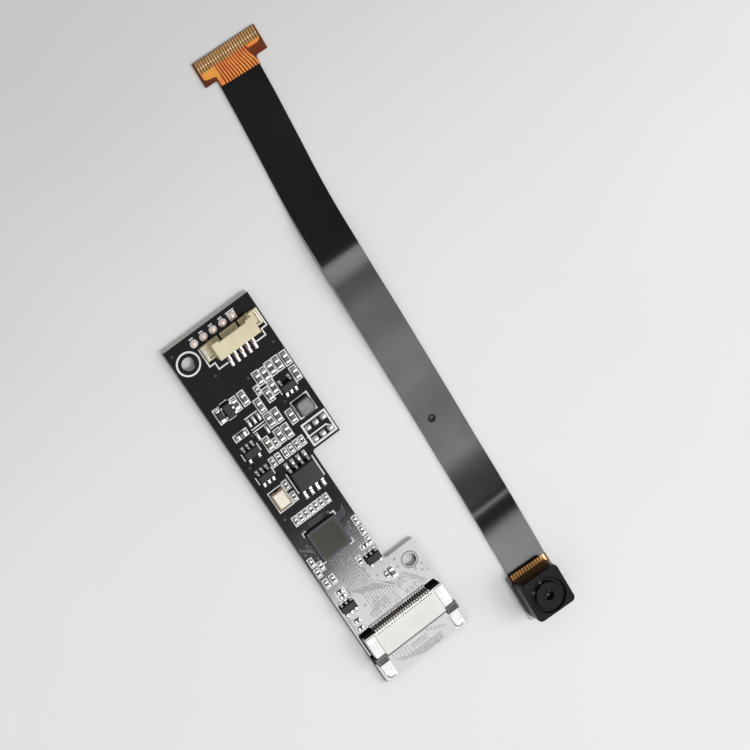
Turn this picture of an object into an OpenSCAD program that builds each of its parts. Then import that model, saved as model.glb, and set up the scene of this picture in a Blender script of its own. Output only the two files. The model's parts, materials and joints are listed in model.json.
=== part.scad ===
// USB camera module in two halves that plug together: a long controller board,
// and a camera head on a flexible printed circuit whose tail fits the board's flex socket.
// Millimetres, Z up. Z = 0 is the surface that both halves lie on.
// The origin is on the axis of the board's mounting hole beside the wire header.

/* [Controller board] */
// Width of the board
board_w = 17.7; // [17.7:0.1:22]
// Length of the board
board_l = 72; // [66:0.5:90]
// Thickness of the board
board_t = 1; // [0.8:0.1:1.6]
// Width left beside the notch
neck_w = 11.8; // [11.6:0.1:13]
// Length of the foot between the socket end and the notch
foot_l = 18.7; // [18.4:0.1:20]
// Length of the wide header end beyond the notch
head_end_l = 29.6; // [29.5:0.1:32]
// Radius that the router leaves in the notch corners
router_r = 0.5; // [0.2:0.1:1]
// Diameter of both mounting holes
mount_hole_d = 2.4; // [1.8:0.1:2.6]
// Header-end hole: distance from the left edge
hole_a_side = 2.55; // [2.3:0.05:2.8]
// Header-end hole: distance from the header edge
hole_a_end = 4.1; // [3.6:0.1:4.6]
// Socket-end hole: distance from the right edge
hole_b_side = 2.5; // [2:0.1:3]
// Socket-end hole: distance from the notch
hole_b_end = 2.9; // [2.4:0.1:3.4]
// Thickness of tracks and lands
copper_t = 0.04; // [0.03:0.01:0.07]
// Thickness of the white legend print
legend_t = 0.05; // [0.03:0.01:0.08]
// Line width of the legend
legend_w = 0.2; // [0.12:0.01:0.3]

/* [Wire header] */
// Number of header contacts
header_ways = 5; // [2:1:5]
// Spacing of the header contacts
header_pitch = 1.25; // [1:0.25:1.25]
// Width of the shroud
header_w = 8.4; // [8.2:0.1:9]
// Height of the shroud
header_h = 2.6; // [2.2:0.1:3.4]
// Depth of the shroud
header_d = 3.4; // [3:0.1:3.5]
// Wall of the shroud
header_wall = 0.5; // [0.4:0.05:0.6]
// Side length of a contact blade
blade = 0.3; // [0.25:0.05:0.4]

/* [Flex socket] */
// Number of ways of the flex socket and the flex tail
flex_ways = 24; // [10:2:24]
// Spacing of the flex contacts
flex_pitch = 0.5; // [0.46:0.02:0.5]
// Length of the socket housing along the board
socket_d = 4.8; // [4.4:0.1:5.2]
// Height of the socket
socket_h = 2; // [1.9:0.05:2.4]
// Width of the housing
socket_w = 16.4; // [16.2:0.1:16.6]
// Travel of the lock slider
slider_travel = 1; // [0.6:0.1:1.2]

/* [Chips] */
// Side of the image processor
processor_w = 6; // [5:0.1:6.2]
// Height of the image processor
processor_h = 0.75; // [0.6:0.05:1]
// Side of the power inductor
inductor_w = 3; // [2.4:0.1:3.2]
// Height of the power inductor
inductor_h = 1.5; // [1:0.1:2]

/* [Flexible circuit] */
// Width of the flex between tail and head
flex_w = 7.7; // [7.2:0.1:8.4]
// Film beside the middle of the outermost fingers of the tail
tail_edge = 0.5; // [0.4:0.05:0.6]
// Length of the wide tail
tail_l = 4.6; // [4:0.1:5.5]
// Thickness of the base film
film_t = 0.12; // [0.08:0.01:0.2]
// Thickness of each black cover film
cover_t = 0.05; // [0.03:0.01:0.08]
// Thickness of the stiffeners
stiffener_t = 0.2; // [0.1:0.05:0.3]

/* [Camera head] */
// Side of the square lens holder
holder_w = 7.8; // [7.6:0.1:8.6]
// Height of the head above the surface it lies on
head_h = 4.9; // [4.6:0.1:5.6]
// Corner radius of the holder
holder_r = 0.9; // [0.4:0.1:1.2]
// Wall of the holder
holder_wall = 0.6; // [0.5:0.05:0.7]
// Radius of the lens thread
thread_r = 3; // [2.9:0.05:3.05]
// Radius of the barrel's front face
barrel_face_r = 2.5; // [2.2:0.05:2.6]
// Radius of the lens aperture
aperture_r = 0.65; // [0.4:0.05:0.8]
// Lens axis offset from the middle of the holder, away from the flex
lens_offset = 0.35; // [0:0.05:0.4]

/* [Hidden] */
$fn = 48;

// Small amount by which a cutter passes the face it cuts
cut = 0.1;
// Gap between a moving plastic part and its guide
slide_gap = 0.08;

// ---- board frame: origin at the board's corner, left of the flex socket ----
hole_a = [hole_a_side, board_l - hole_a_end];
hole_b = [board_w - hole_b_side, foot_l - hole_b_end];
shoulder_y = board_l - head_end_l;
notch_l = shoulder_y - foot_l;
deck = board_t;

// Placements are drawn on a board of this width and length, with a neck of this width between these
// two heights. On another board, those on the header end keep their way from its edge, those on the
// foot from the socket's edge, and those on the neck spread with it.
drawn_w = 17.7;
drawn_l = 72;
drawn_neck = 11.8;
drawn_foot = 18.7;
drawn_shoulder = 42.4;
function on_neck(y) = y > drawn_foot && y < drawn_shoulder;
function across(x, y) = on_neck(y) ? x * neck_w / drawn_neck : x * board_w / drawn_w;
function along(y) =
    on_neck(y) ? foot_l + (y - drawn_foot) * notch_l / (drawn_shoulder - drawn_foot) :
    y <= drawn_foot ? y : y + board_l - drawn_l;
function placed(p) = [across(p[0], p[1]), along(p[1]), for (k = [2:1:len(p) - 1]) p[k]];
function all_placed(list) = [for (p = list) placed(p)];

// Row of plated holes behind the header mouth
row_holes = 5;
row_pitch = 2;
row_hole_d = 0.9;
row_land_d = 1.45;
row_y = board_l - 1.8;
row_x0 = across(5.25, drawn_l);

// Wire header, its mouth towards the board's end
header_x = across(11.3, drawn_l);
header_front = board_l - 2.9;
header_back = header_front - header_d;
header_floor = 0.5;
header_wing = 1.6;
header_wing_d = 2.8;
header_wing_h = 0.9;
header_tail_end = header_back - 2.7;
mouth_w = header_w - 3 * header_wall;
mouth_h = header_h - header_floor - header_wall;

// Flex socket, its mouth towards the board's end
socket_x = board_w / 2;
socket_front = 4.85;
socket_back = socket_front + socket_d;
socket_floor = 0.45;
socket_cover = 0.5;
tail_w = (flex_ways - 1) * flex_pitch + 2 * tail_edge;
socket_span = tail_w + 0.3;
contact_w = 0.2;
contact_end = socket_back + 0.65;
bar_d = 0.4;
bar_front = socket_front - bar_d;
ear_front = socket_front - 1.1;
clip_t = 0.15;
ear_w = 2.2;
ear_d = 1.6;
ear_h = 1.4;
tongue_t = 0.35;

// Placements are [x, y, turn] in the board frame; turn 0 lies along Y, 90 along X.
big_capacitors = all_placed([
    [11.0, 58.6, 0], [15.2, 58.7, 0], [16.8, 58.6, 0], [10.9, 55.2, 0], [16.8, 55.4, 0],
    [8.6, 54.5, 0], [8.6, 51.4, 0], [10.1, 51.3, 0], [12.1, 49.6, 0], [3.1, 52.3, 90],
    [6.1, 48.1, 0], [8.55, 48.1, 0], [10.1, 48.0, 0], [7.0, 57.3, 0], [11.45, 16.0, 0]
]);
big_resistors = all_placed([[12.35, 58.4, 0], [13.75, 58.7, 0], [12.3, 55.7, 0], [5.3, 57.3, 0]]);
small_capacitors = all_placed([
    [9.75, 56.9, 0], [5.0, 45.0, 0], [7.7, 45.0, 0], [10.15, 45.0, 0], [4.7, 40.3, 0],
    [2.6, 34.0, 0], [4.8, 34.0, 0], [6.9, 34.0, 0], [9.2, 34.0, 0], [0.75, 26.2, 0],
    [11.2, 27.6, 0], [0.9, 21.5, 0], [2.3, 21.5, 0], [1.7, 12.7, 90], [11.2, 25.4, 0],
    [10.4, 16.2, 0], [2, 18.9, 90]
]);
small_resistors = all_placed([
    [7.3, 47.5, 0], [6.3, 45.0, 0], [8.9, 45.0, 0], [11.3, 45.0, 0], [4.7, 37.8, 0],
    [3.7, 34.0, 0], [5.9, 34.0, 0], [8.0, 34.0, 0], [1.8, 24.7, 0], [0.7, 24, 0],
    [2, 17.9, 90], [1.5, 11.2, 90], [7.9, 21.2, 0], [11.2, 23.2, 0], [10.1, 22.9, 90]
]);
// Small six- and five-lead packages: [x, y, turn, leads on the far side, leads on the near side]
regulator_sites = all_placed([
    [14.5, 54.4, 0, 2, 3], [3.65, 57.3, 90, 3, 2], [2.9, 48.8, 0, 3, 2],
    [2.65, 43.9, 0, 3, 3], [10.1, 20.3, 0, 3, 2], [1.75, 15.75, 0, 3, 3]
]);
// Case, lead reach and lead height of the small packages
regulator_body = [2.8, 1.55, 1.05];
lead_pitch = 0.95;
lead_w = 0.4;
lead_t = 0.14;

processor_at = placed([5.6, 28.1]);
flash_at = placed([8.45, 39.75]);
flash_body = [4.9, 3.9, 1.45];
inductor_at = placed([14.85, 49.9]);
crystal_at = placed([2.6, 38.9]);
crystal_size = [2.5, 3.2, 0.7];
diode_at = [regulator_sites[1][0] - 1.65, regulator_sites[1][1]];
diode_body = [1.1, 1.5, 0.8];
spare_site = placed([6.4, 52.2]);
link_block = concat(placed([12.4, 42.8]), placed([17.5, 47.3]));

// Chip sizes: [width, length, height]
big_chip = [0.8, 1.6, 0.75];
small_chip = [0.5, 1, 0.45];
terminal_share = 0.25;

// ---- flexible circuit ----
// Way of the base film from the wide tail to the camera head: X, Y, rise above the stiffeners
flex_route = [
    [34.8, 38, 0], [34.58, 34.8, 0], [34.1, 28.5, 0.02], [33.3, 20, 0], [32.65, 13.5, 0.05],
    [32.1, 7, 0.6], [31.8, 1, 1.1], [31.62, -5, 1], [31.47, -13.5, 0.65], [31.25, -22, 0.3],
    [31.05, -28, 0.17], [30.85, -34, 0.07], [30.6, -40, 0.02], [30.37, -46, 0.14], [30.12, -52, 0.26],
    [29.88, -57.5, 0.12], [29.62, -63.2, 0], [29.4, -66.5, 0], [29.25, -69, 0], [29.05, -73, 0]
];
steps_per_span = 4;
// Stations of the route where the black covers start and end
cover_first = steps_per_span;
cover_last = 17 * steps_per_span;
window_last = cover_last + 3;
tail_at = [34.86, 38.45];
tail_angle = -2.5;
neck_l = 1.5;
finger_l = 2.2;
finger_w = 0.32;
flex_track_w = 0.3;
flex_track_pitch = 0.56;
track_shift = 0.55;
flex_copper_t = 0.03;
// Fingers that join the broad ground copper at the tail's left and right
left_ground = 6;
right_ground = 6;
window_tracks = 13;

// ---- camera head ----
head_at = [28.95, -71.4];
head_angle = -2.5;
stiffener_over = 0.4;
holder_base = stiffener_t + film_t;
holder_top = head_h - 0.25;
sensor_room_h = 1.3;
sensor_size = [5, 4.4, 0.35];
filter_t = 0.3;
filter_w = 5.2;
filter_web = 0.35;
barrel_base = holder_base + sensor_room_h + filter_t + filter_web;
groove_r = thread_r + 0.2;
groove_h = 0.4;
barrel_h = head_h - barrel_base;
thread_h = holder_top - groove_h - barrel_base;
thread_gap = 0.03;
rear_lens_r = 2.3;
middle_lens_r = 1.9;
front_lens_r = 1.5;
ring_t = 0.2;
lens_t = 0.45;
spacer_t = 0.1;
stop_t = 0.15;
key_notches = 8;

// ================= helpers =================

// Places children given in the board frame
module on_board(z = 0) {
    translate([-hole_a[0], -hole_a[1], z]) children();
}

// Places children at a site [x, y, turn], z above the top of the board
module at_site(site, z = 0) {
    translate([site[0], site[1], deck + z]) rotate([0, 0, -site[2]]) children();
}

// A box that is centred in X and Y
module slab(size, z = 0) {
    translate([-size[0] / 2, -size[1] / 2, z]) cube(size);
}

// A flat rectangle with round corners
module round_rect(w, l, r) {
    union() {
        square([w - 2 * r, l], center = true);
        square([w, l - 2 * r], center = true);
        for (sx = [-1, 1], sy = [-1, 1]) translate([sx * (w / 2 - r), sy * (l / 2 - r)]) circle(r);
    }
}

// A rectangular line frame
module frame(w, l, line = legend_w) {
    difference() {
        square([w, l], center = true);
        square([w - 2 * line, l - 2 * line], center = true);
    }
}

// One straight piece of a track
module track_piece(p, q, w) {
    d = q - p;
    n = norm(d);
    translate(p) rotate(atan2(d[1], d[0])) translate([-w / 2, -w / 2]) square([n + w, w]);
}

// A track through a list of points
module track(points, w) {
    for (i = [0:len(points) - 2]) track_piece(points[i], points[i + 1], w);
}

// Points of a curve that passes through the route's points
function blend_point(a, b, c, d, t) =
    0.5 * (2 * b + (c - a) * t + (2 * a - 5 * b + 4 * c - d) * t * t + (3 * b - a - 3 * c + d) * t * t * t);
function route_point(i) = flex_route[max(0, min(len(flex_route) - 1, i))];
flex_points = [
    for (i = [0:len(flex_route) - 2], k = [0:steps_per_span - 1])
        blend_point(
            route_point(i - 1), route_point(i), route_point(i + 1), route_point(i + 2), k / steps_per_span
        ),
    flex_route[len(flex_route) - 1]
];
function heading(i) =
    let (a = flex_points[max(0, i - 1)], b = flex_points[min(len(flex_points) - 1, i + 1)])
    atan2(b[1] - a[1], b[0] - a[0]);
// A corner of the ribbon at station i, u to the right of the way to the head, h above the route
function ribbon_corner(i, u, h) =
    flex_points[i] + [sin(heading(i)) * u, -cos(heading(i)) * u, stiffener_t + h];

// A flat ribbon that follows the route between two stations
module ribbon(first, last, u0, u1, h0, h1) {
    count = last - first + 1;
    corners = [
        for (i = [first:last])
            each [
                ribbon_corner(i, u0, h0), ribbon_corner(i, u1, h0),
                ribbon_corner(i, u1, h1), ribbon_corner(i, u0, h1)
            ]
    ];
    sides = [
        for (i = [0:count - 2], k = [0:3])
            let (a = 4 * i + k, b = 4 * i + (k + 1) % 4)
            // Top and bottom share one diagonal, so stacked ribbons meet without crossing
            each k == 0 ? [[a, b, a + 4], [b, b + 4, a + 4]] : [[a, b, b + 4], [a, b + 4, a + 4]]
    ];
    e = 4 * (count - 1);
    ends = [[0, 2, 1], [0, 3, 2], [e, e + 1, e + 2], [e, e + 2, e + 3]];
    polyhedron(points = corners, faces = concat(sides, ends), convexity = 10);
}

// Places children in the tail's own frame: +Y towards the tail's end
module on_tail(z = 0) {
    translate([tail_at[0], tail_at[1], z]) rotate([0, 0, tail_angle]) children();
}

// Places children in the head's own frame: +Y towards the flex
module on_head() {
    translate([head_at[0], head_at[1], 0]) rotate([0, 0, head_angle]) children();
}
module on_lens_axis() {
    on_head() translate([0, -lens_offset, 0]) children();
}

// A ring or tube that stands on Z
module tube(outer, inner, h) {
    difference() {
        cylinder(r = outer, h = h);
        translate([0, 0, -cut]) cylinder(r = inner, h = h + 2 * cut);
    }
}

// A bent lead in the Y-Z plane: leaves the case at height z0, ends in a foot
module gull_lead(w, t, z0, reach, foot) {
    rotate([90, 0, 90]) translate([0, 0, -w / 2]) linear_extrude(w) polygon([
        [0, z0], [reach - foot, z0], [reach - foot + t, z0 - t / 2], [reach - foot + t, t],
        [reach, t], [reach, 0], [reach - foot, 0], [reach - foot, z0 - t], [0, z0 - t]
    ]);
}

// Section of a moulded case: its sides lean in above and below the parting line
module case_section(w, z, h) {
    lean = 0.12;
    polygon([
        [-w / 2 + lean, z], [w / 2 - lean, z], [w / 2, z + h / 2],
        [w / 2 - lean, z + h], [-w / 2 + lean, z + h], [-w / 2, z + h / 2]
    ]);
}
// A moulded case with that draft on all four sides
module moulded_case(size, z) {
    intersection() {
        translate([-size[0] / 2, 0, 0]) rotate([90, 0, 90])
            linear_extrude(size[0]) case_section(size[1], z, size[2]);
        translate([0, size[1] / 2, 0]) rotate([90, 0, 0])
            linear_extrude(size[1]) case_section(size[0], z, size[2]);
    }
}

// Leads of a small package on its far (+Y) and near (-Y) sides
module package_leads(body, pitch, w, t, far, near, reach, foot) {
    mid = body[2] / 2 + t / 2;
    for (side = [0, 1]) {
        count = side == 0 ? far : near;
        step = count == 2 ? 2 * pitch : pitch;
        rotate([0, 0, 180 * side])
            for (i = [0:count - 1])
                translate([(i - (count - 1) / 2) * step, body[1] / 2, 0]) gull_lead(w, t, mid, reach, foot);
    }
}

// Lands under the leads of a small package
module package_lands(body, pitch, w, far, near, reach) {
    for (side = [0, 1]) {
        count = side == 0 ? far : near;
        step = count == 2 ? 2 * pitch : pitch;
        rotate(180 * side)
            for (i = [0:count - 1])
                translate([(i - (count - 1) / 2) * step, body[1] / 2 + reach / 2 + 0.2])
                    square([w + 0.1, reach + 0.25], center = true);
    }
}

// Two end terminals of a chip
module chip_terminals(size) {
    l = size[1] * terminal_share;
    for (s = [-1, 1]) translate([0, s * (size[1] - l) / 2, copper_t]) slab([size[0], l, size[2]]);
}
// The body of a chip between its terminals
module chip_body(size) {
    translate([0, 0, copper_t]) slab([size[0], size[1] * (1 - 2 * terminal_share), size[2]]);
}
// Lands of a chip
module chip_lands(size) {
    for (s = [-1, 1]) translate([0, s * size[1] * 0.47])
        square([size[0] + 0.04, size[1] * 0.4], center = true);
}
// Puts flat shapes at a site
module flat_site(site) {
    translate([site[0], site[1]]) rotate(-site[2]) children();
}

// ================= controller board =================

module board_outline() {
    difference() {
        square([board_w, board_l]);
        translate([neck_w, foot_l]) square([board_w, notch_l]);
    }
    // Router radii in the two inner corners
    for (end = [0, 1]) translate([neck_w, foot_l + end * notch_l]) mirror([0, end]) difference() {
        square(router_r);
        translate([router_r, router_r]) circle(router_r);
    }
}

module circuit_board() {
    color([0.1, 0.1, 0.11]) on_board() difference() {
        linear_extrude(board_t) board_outline();
        for (p = [hole_a, hole_b])
            translate([p[0], p[1], -cut]) cylinder(d = mount_hole_d, h = board_t + 2 * cut);
        for (i = [0:row_holes - 1])
            translate([row_x0 + i * row_pitch, row_y, -cut])
                cylinder(d = row_hole_d, h = board_t + 2 * cut);
    }
}

module socket_lands() {
    for (i = [0:flex_ways - 1])
        translate([socket_x + (i - (flex_ways - 1) / 2) * flex_pitch, contact_end - 0.3])
            square([contact_w + 0.08, 1.1], center = true);
    for (s = [-1, 1]) translate([socket_x + s * 7.4, 1.75]) square([1.9, 3.1], center = true);
}

module header_lands() {
    for (i = [0:header_ways - 1])
        translate([header_x + (i - (header_ways - 1) / 2) * header_pitch, header_tail_end + 0.85])
            square([0.6, 1.7], center = true);
    for (s = [-1, 1])
        translate([header_x + s * (header_w + header_wing) / 2, header_front - header_wing_d / 2])
            square([header_wing - 0.1, header_wing_d], center = true);
}

module lands_2d() {
    for (i = [0:row_holes - 1]) translate([row_x0 + i * row_pitch, row_y]) difference() {
        if (i == row_holes - 1) square(row_land_d, center = true); else circle(d = row_land_d);
        circle(d = row_hole_d);
    }
    translate(hole_b) difference() {
        circle(d = mount_hole_d + 0.75);
        circle(d = mount_hole_d + 0.35);
    }
    socket_lands();
    header_lands();
    for (p = concat(big_capacitors, big_resistors)) flat_site(p) chip_lands(big_chip);
    for (p = concat(small_capacitors, small_resistors)) flat_site(p) chip_lands(small_chip);
    for (p = regulator_sites)
        flat_site(p) package_lands(regulator_body, lead_pitch, lead_w, p[3], p[4], 0.6);
    translate(flash_at) package_lands(flash_body, 1.27, 0.5, 4, 4, 1.5);
    translate(spare_site) for (x = [-1, 0, 1]) translate([x, 0.9]) square([0.5, 1.5], center = true);
    translate(spare_site) for (x = [-1, 1]) translate([x, -1.9]) square([0.5, 1.5], center = true);
    translate(diode_at) for (s = [-1, 1]) translate([0, s * 1.05]) square([0.95, 0.85], center = true);
    translate(inductor_at) for (s = [-1, 1]) translate([s * 1.25, 0]) square([0.8, 2], center = true);
    translate(crystal_at) for (sx = [-1, 1], sy = [-1, 1])
        translate([sx * 0.8, sy * 1.1]) square([0.9, 1.1], center = true);
    for (i = [0:2], k = [0, 1])
        translate([link_block[0] + 0.95 + i * 1.6, link_block[1] + 1 + k * 2.4]) circle(d = 0.85);
}

module chip_frames() {
    for (p = concat(big_capacitors, big_resistors)) flat_site(p) frame(1.4, 2.9);
    for (p = concat(small_capacitors, small_resistors)) flat_site(p) frame(1.05, 1.95);
}

module legend_2d() {
    difference() {
        union() {
            translate(hole_a) difference() {
                circle(r = 2.2);
                circle(r = 1.88);
            }
            chip_frames();
            translate(diode_at) frame(1.5, 3.1);
            translate(inductor_at) frame(3.6, 3.7, 0.25);
            translate(crystal_at) frame(3, 4.3);
            translate([(link_block[0] + link_block[2]) / 2, (link_block[1] + link_block[3]) / 2])
                frame(link_block[2] - link_block[0], link_block[3] - link_block[1], 0.35);
            link_line();
            for (s = [-1, 1]) translate(flash_at) translate([s * 2.75, 0])
                square([0.25, 4.2], center = true);
            translate(processor_at) for (sx = [0, 1], sy = [0, 1]) mirror([sx, 0]) mirror([0, sy])
                track([[3.35, 2.6], [3.35, 3.35], [2.6, 3.35]], legend_w);
            translate(spare_site) for (y = [1.95, -0.35, -0.85])
                translate([0, y]) square([2.7, legend_w], center = true);
            translate([header_x, header_front]) for (s = [0, 1]) mirror([s, 0])
                track([[6, -0.3], [6, -3.8], [4.9, -3.8], [4.9, -5.1], [3.1, -5.1]], 0.25);
            // Mark beside the first plated hole, and dashes behind the others
            translate([row_x0 + (row_holes - 1) * row_pitch, row_y + 0.95])
                square([1.7, legend_w], center = true);
            for (i = [0:row_holes - 2])
                translate([row_x0 + i * row_pitch, row_y + 1]) square([0.8, legend_w], center = true);
            for (p = regulator_sites) flat_site(p) for (s = [-1, 1]) translate([s * 1.65, 0])
                square([legend_w, 1.5], center = true);
        }
        lands_2d();
    }
}

// Line that splits the block of solder links
module link_line() {
    y = link_block[1] + 2;
    track([[link_block[0], y], [link_block[2] - 1.3, y], [link_block[2] - 0.5, y - 0.8]], 0.25);
}

// Signal tracks between the processor and the flex socket
module bus_tracks() {
    w = 0.16;
    for (i = [0:10]) {
        x0 = processor_at[0] - 2 + i * 0.4;
        x1 = socket_x - 3.75 + i * flex_pitch;
        y1 = 17.6 - 0.12 * i;
        track([[x0, processor_at[1] - 3.3], [x0, y1], [x1, y1 - (x1 - x0)], [x1, contact_end + 0.3]], w);
    }
}

// Tracks that fan out around the processor, from its middle
module processor_fan() {
    w = 0.16;
    edge = processor_w / 2 + 0.25;
    for (i = [0:5]) {
        x = -3.2 - 0.28 * i;
        y = -1 + 0.32 * i;
        track([[-edge, y], [x, y], [x - 0.7, y + 0.7], [x - 0.7, y + 1.2 - 0.2 * i]], w);
    }
    for (i = [0:3]) {
        y = 1.5 + 0.36 * i;
        track([[edge, y], [4.4, y], [5.1, y + 0.7]], w);
    }
    for (i = [0:4]) {
        x = 3.8 + 0.1 * i;
        y = -2 + 0.4 * i;
        track([[edge, y], [x, y], [x + 0.5, y + 0.5]], w);
    }
    for (i = [0:3]) {
        x = 1.7 + 0.35 * i;
        track([[x, -edge - 0.45], [x, -4.5 - 0.25 * i], [x + 1.5, -5.7 - 0.2 * i]], w);
    }
    for (i = [0:2]) track([[-1.4, edge + 0.25 + 0.35 * i], [1 + 0.4 * i, edge + 0.25 + 0.35 * i]], w);
}

// Tracks along the left edge of the foot
module edge_tracks() {
    for (i = [0:4]) {
        x = 0.35 + 0.1 * i;
        track([[x, 10.4], [x, 14.4], [3.4, 17.4 + 0.3 * i]], 0.12);
    }
}

// Tracks between the socket and the chips near it, from the socket's middle line
module socket_tracks() {
    w = 0.15;
    for (i = [0:5]) {
        x = -5.45 + 0.6 * i;
        y = 1.6 - 0.26 * i;
        track([[x, socket_front - 0.2], [x, 2.7 - 0.3 * i], [x + 1 + 0.2 * i, y], [3.75, y]], w);
    }
    for (i = [0:3]) {
        x = -4.45 + 0.5 * i;
        y = socket_back + 2.55 + 0.3 * i;
        track([[x, contact_end + 0.9], [x, y], [-0.65, y]], w);
    }
    for (i = [0:4]) {
        x = 1.35 + 0.3 * i;
        y = socket_back + 4.95 - 0.4 * i;
        track([[x, y - 0.8], [2.15, y], [4.35, y], [x + 4.4, y - 1.9], [x + 4.4, contact_end + 0.5]], w);
    }
    for (i = [0:5]) {
        x = 2.75 + 0.5 * i;
        track([[x, contact_end + 0.6], [x, contact_end + 1.3 + 0.1 * (i % 3)]], w);
    }
}

// Broad copper beside the socket, from the socket's middle line
module copper_fields() {
    polygon([
        [-2.95, 17], [-1.85, 17], [2.75, 12.9], [4.55, 12.9],
        [4.55, 13.4], [0.65, 15.2], [-1.65, 18], [-2.95, 18]
    ]);
    translate([-1.85, 2.1]) square([3.4, 0.9]);
}

module vias() {
    sites = [
        [4.4, 11.9], [5.2, 12.3], [7, 11.9], [8.1, 11.6], [11.9, 11.5], [12.7, 11.3], [13.6, 11.8],
        [10.9, 3.4], [11.6, 3.1], [12.3, 2.8], [13, 2.5], [13.7, 2.2],
        [4.3, 14.1], [6.1, 13.6], [6.8, 13.8], [7.7, 19.3], [7.7, 18.1], [9, 17.1], [12.8, 16.1],
        [15.2, 13.8], [16.6, 13.9], [16.1, 12.9], [16.9, 12.4], [13.1, 17.6],
        [1.7, 29.2], [2.1, 26.2], [0.6, 28], [9.9, 28.2], [9.7, 27], [10.2, 26.2], [8.9, 23.6], [10.1, 24],
        [2.7, 31.7], [8, 31.9], [8.7, 31.2], [1.2, 46.6], [4.6, 51], [12.6, 52.4], [9.6, 59.6],
        [5.2, 63.4], [0.9, 70.6], [16.6, 62.2], [10.4, 42.9], [1.2, 35.4]
    ];
    for (p = all_placed(sites)) translate(p) circle(r = 0.25);
}

module solder_lands() {
    color([0.86, 0.86, 0.85]) on_board(deck) linear_extrude(copper_t) lands_2d();
}

module legend_print() {
    color([0.95, 0.95, 0.93]) on_board(deck) linear_extrude(legend_t) legend_2d();
}

module copper_tracks() {
    color([0.24, 0.24, 0.27]) on_board(deck) linear_extrude(copper_t) difference() {
        union() {
            bus_tracks();
            translate(processor_at) processor_fan();
            edge_tracks();
            translate([socket_x, 0]) {
                socket_tracks();
                copper_fields();
            }
            vias();
        }
        lands_2d();
        legend_2d();
    }
}

module through_hole_solder() {
    cap_r = 0.66;
    cap_h = 0.45;
    ball_r = (cap_r * cap_r + cap_h * cap_h) / (2 * cap_h);
    color([0.82, 0.82, 0.8]) on_board() for (i = [0:row_holes - 1])
        translate([row_x0 + i * row_pitch, row_y, 0]) {
            cylinder(d = row_hole_d, h = deck + copper_t + 0.05);
            intersection() {
                translate([0, 0, deck + copper_t + cap_h - ball_r]) sphere(r = ball_r);
                translate([0, 0, deck + copper_t]) cylinder(r = cap_r, h = cap_h + cut);
            }
        }
}

// ================= wire header =================

contact_z = header_floor + mouth_h / 2;
tab_x = header_w / 2 + header_wing - 0.4;
function header_way_x(i) = (i - (header_ways - 1) / 2) * header_pitch;
seat = legend_t + 0.02;

module on_header() {
    on_board(deck) translate([header_x, header_back, 0]) children();
}

module header_housing() {
    wing_y = header_d - header_wing_d;
    color([0.87, 0.83, 0.7]) on_header() difference() {
        translate([0, 0, seat]) union() {
            translate([-header_w / 2, 0, 0]) cube([header_w, header_d - 0.2, header_h - seat]);
            // The side walls reach a little past the roof
            for (s = [-1, 1]) translate([s * (header_w / 2 - header_wall / 2), header_d - 0.3, 0])
                slab([header_wall, 0.8, header_h * 0.55]);
            translate([-header_w / 2, 0, 0]) cube([header_w, header_d, header_floor - seat]);
            for (s = [-1, 1]) translate([s * (header_w + header_wing) / 2, wing_y + header_wing_d / 2, 0])
                slab([header_wing, header_wing_d, header_wing_h - seat]);
            // Sloping heel behind the roof
            translate([-header_w / 2 + 0.5, -0.25, 0]) cube([header_w - 1, 0.3, header_h * 0.6]);
        }
        // Mouth
        translate([-mouth_w / 2, header_wall, header_floor]) cube([mouth_w, header_d, mouth_h]);
        // Key slots in the floor
        for (x = [-1.9, 1.9]) translate([x - 0.2, header_wall + 1, -cut])
            cube([0.4, header_d, header_floor + 2 * cut]);
        // Windows for the latches in the roof's front edge
        translate([-mouth_w / 2 + 0.6, header_d - 0.55, header_h - header_wall - cut])
            cube([mouth_w - 1.2, 1, header_wall + 2 * cut]);
        // Holes for the contacts
        for (i = [0:header_ways - 1])
            translate([header_way_x(i) - blade / 2, -0.25 - cut, contact_z - blade / 2])
                cube([blade, header_wall + 0.25 + 2 * cut, blade]);
        // Pockets for the solder tabs
        for (s = [-1, 1]) translate([s * (header_w + header_wing) / 2, wing_y + header_wing_d / 2, 0])
            translate([0, 0, header_wing_h - 0.35]) slab([header_wing - 0.5, header_wing_d - 0.6, 1]);
        for (s = [-1, 1]) translate([s * tab_x, wing_y + header_wing_d / 2, -cut])
            slab([0.2, header_wing_d - 0.6, 2]);
    }
}

module header_contacts() {
    top = contact_z + blade / 2 - copper_t;
    reach = header_back - header_tail_end - 0.25;
    color([0.8, 0.8, 0.78]) on_header() for (i = [0:header_ways - 1])
        translate([header_way_x(i), 0, 0]) {
            translate([-blade / 2, -0.25, contact_z - blade / 2]) cube([blade, header_d - 0.4, blade]);
            translate([0, -0.25, copper_t]) rotate([0, 0, 180])
                gull_lead(blade, blade * 0.8, top, reach, 1.5);
        }
}

module header_solder_tabs() {
    color([0.85, 0.85, 0.83]) on_header() for (s = [-1, 1])
        translate([s * tab_x, header_d - header_wing_d / 2, copper_t]) {
            slab([0.2, header_wing_d - 0.6, header_wing_h - copper_t]);
            translate([s * 0.15, 0, 0]) slab([0.5, header_wing_d - 0.6, 0.02]);
        }
}

// ================= flex socket =================

end_in = socket_span / 2;
end_out = socket_w / 2;
end_front = socket_front + 0.6;
arm_w = 0.5;
arm_z = 0.6;
arm_h = 0.5;
arm_x = end_in + 0.75;
arm_end = socket_front + 2.6;
slot_deep = 0.55;
rear_wall = 1.25;
tongue_z = socket_h - socket_cover - slide_gap - tongue_t;

module on_socket() {
    on_board(deck) translate([socket_x, 0, 0]) children();
}

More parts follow.
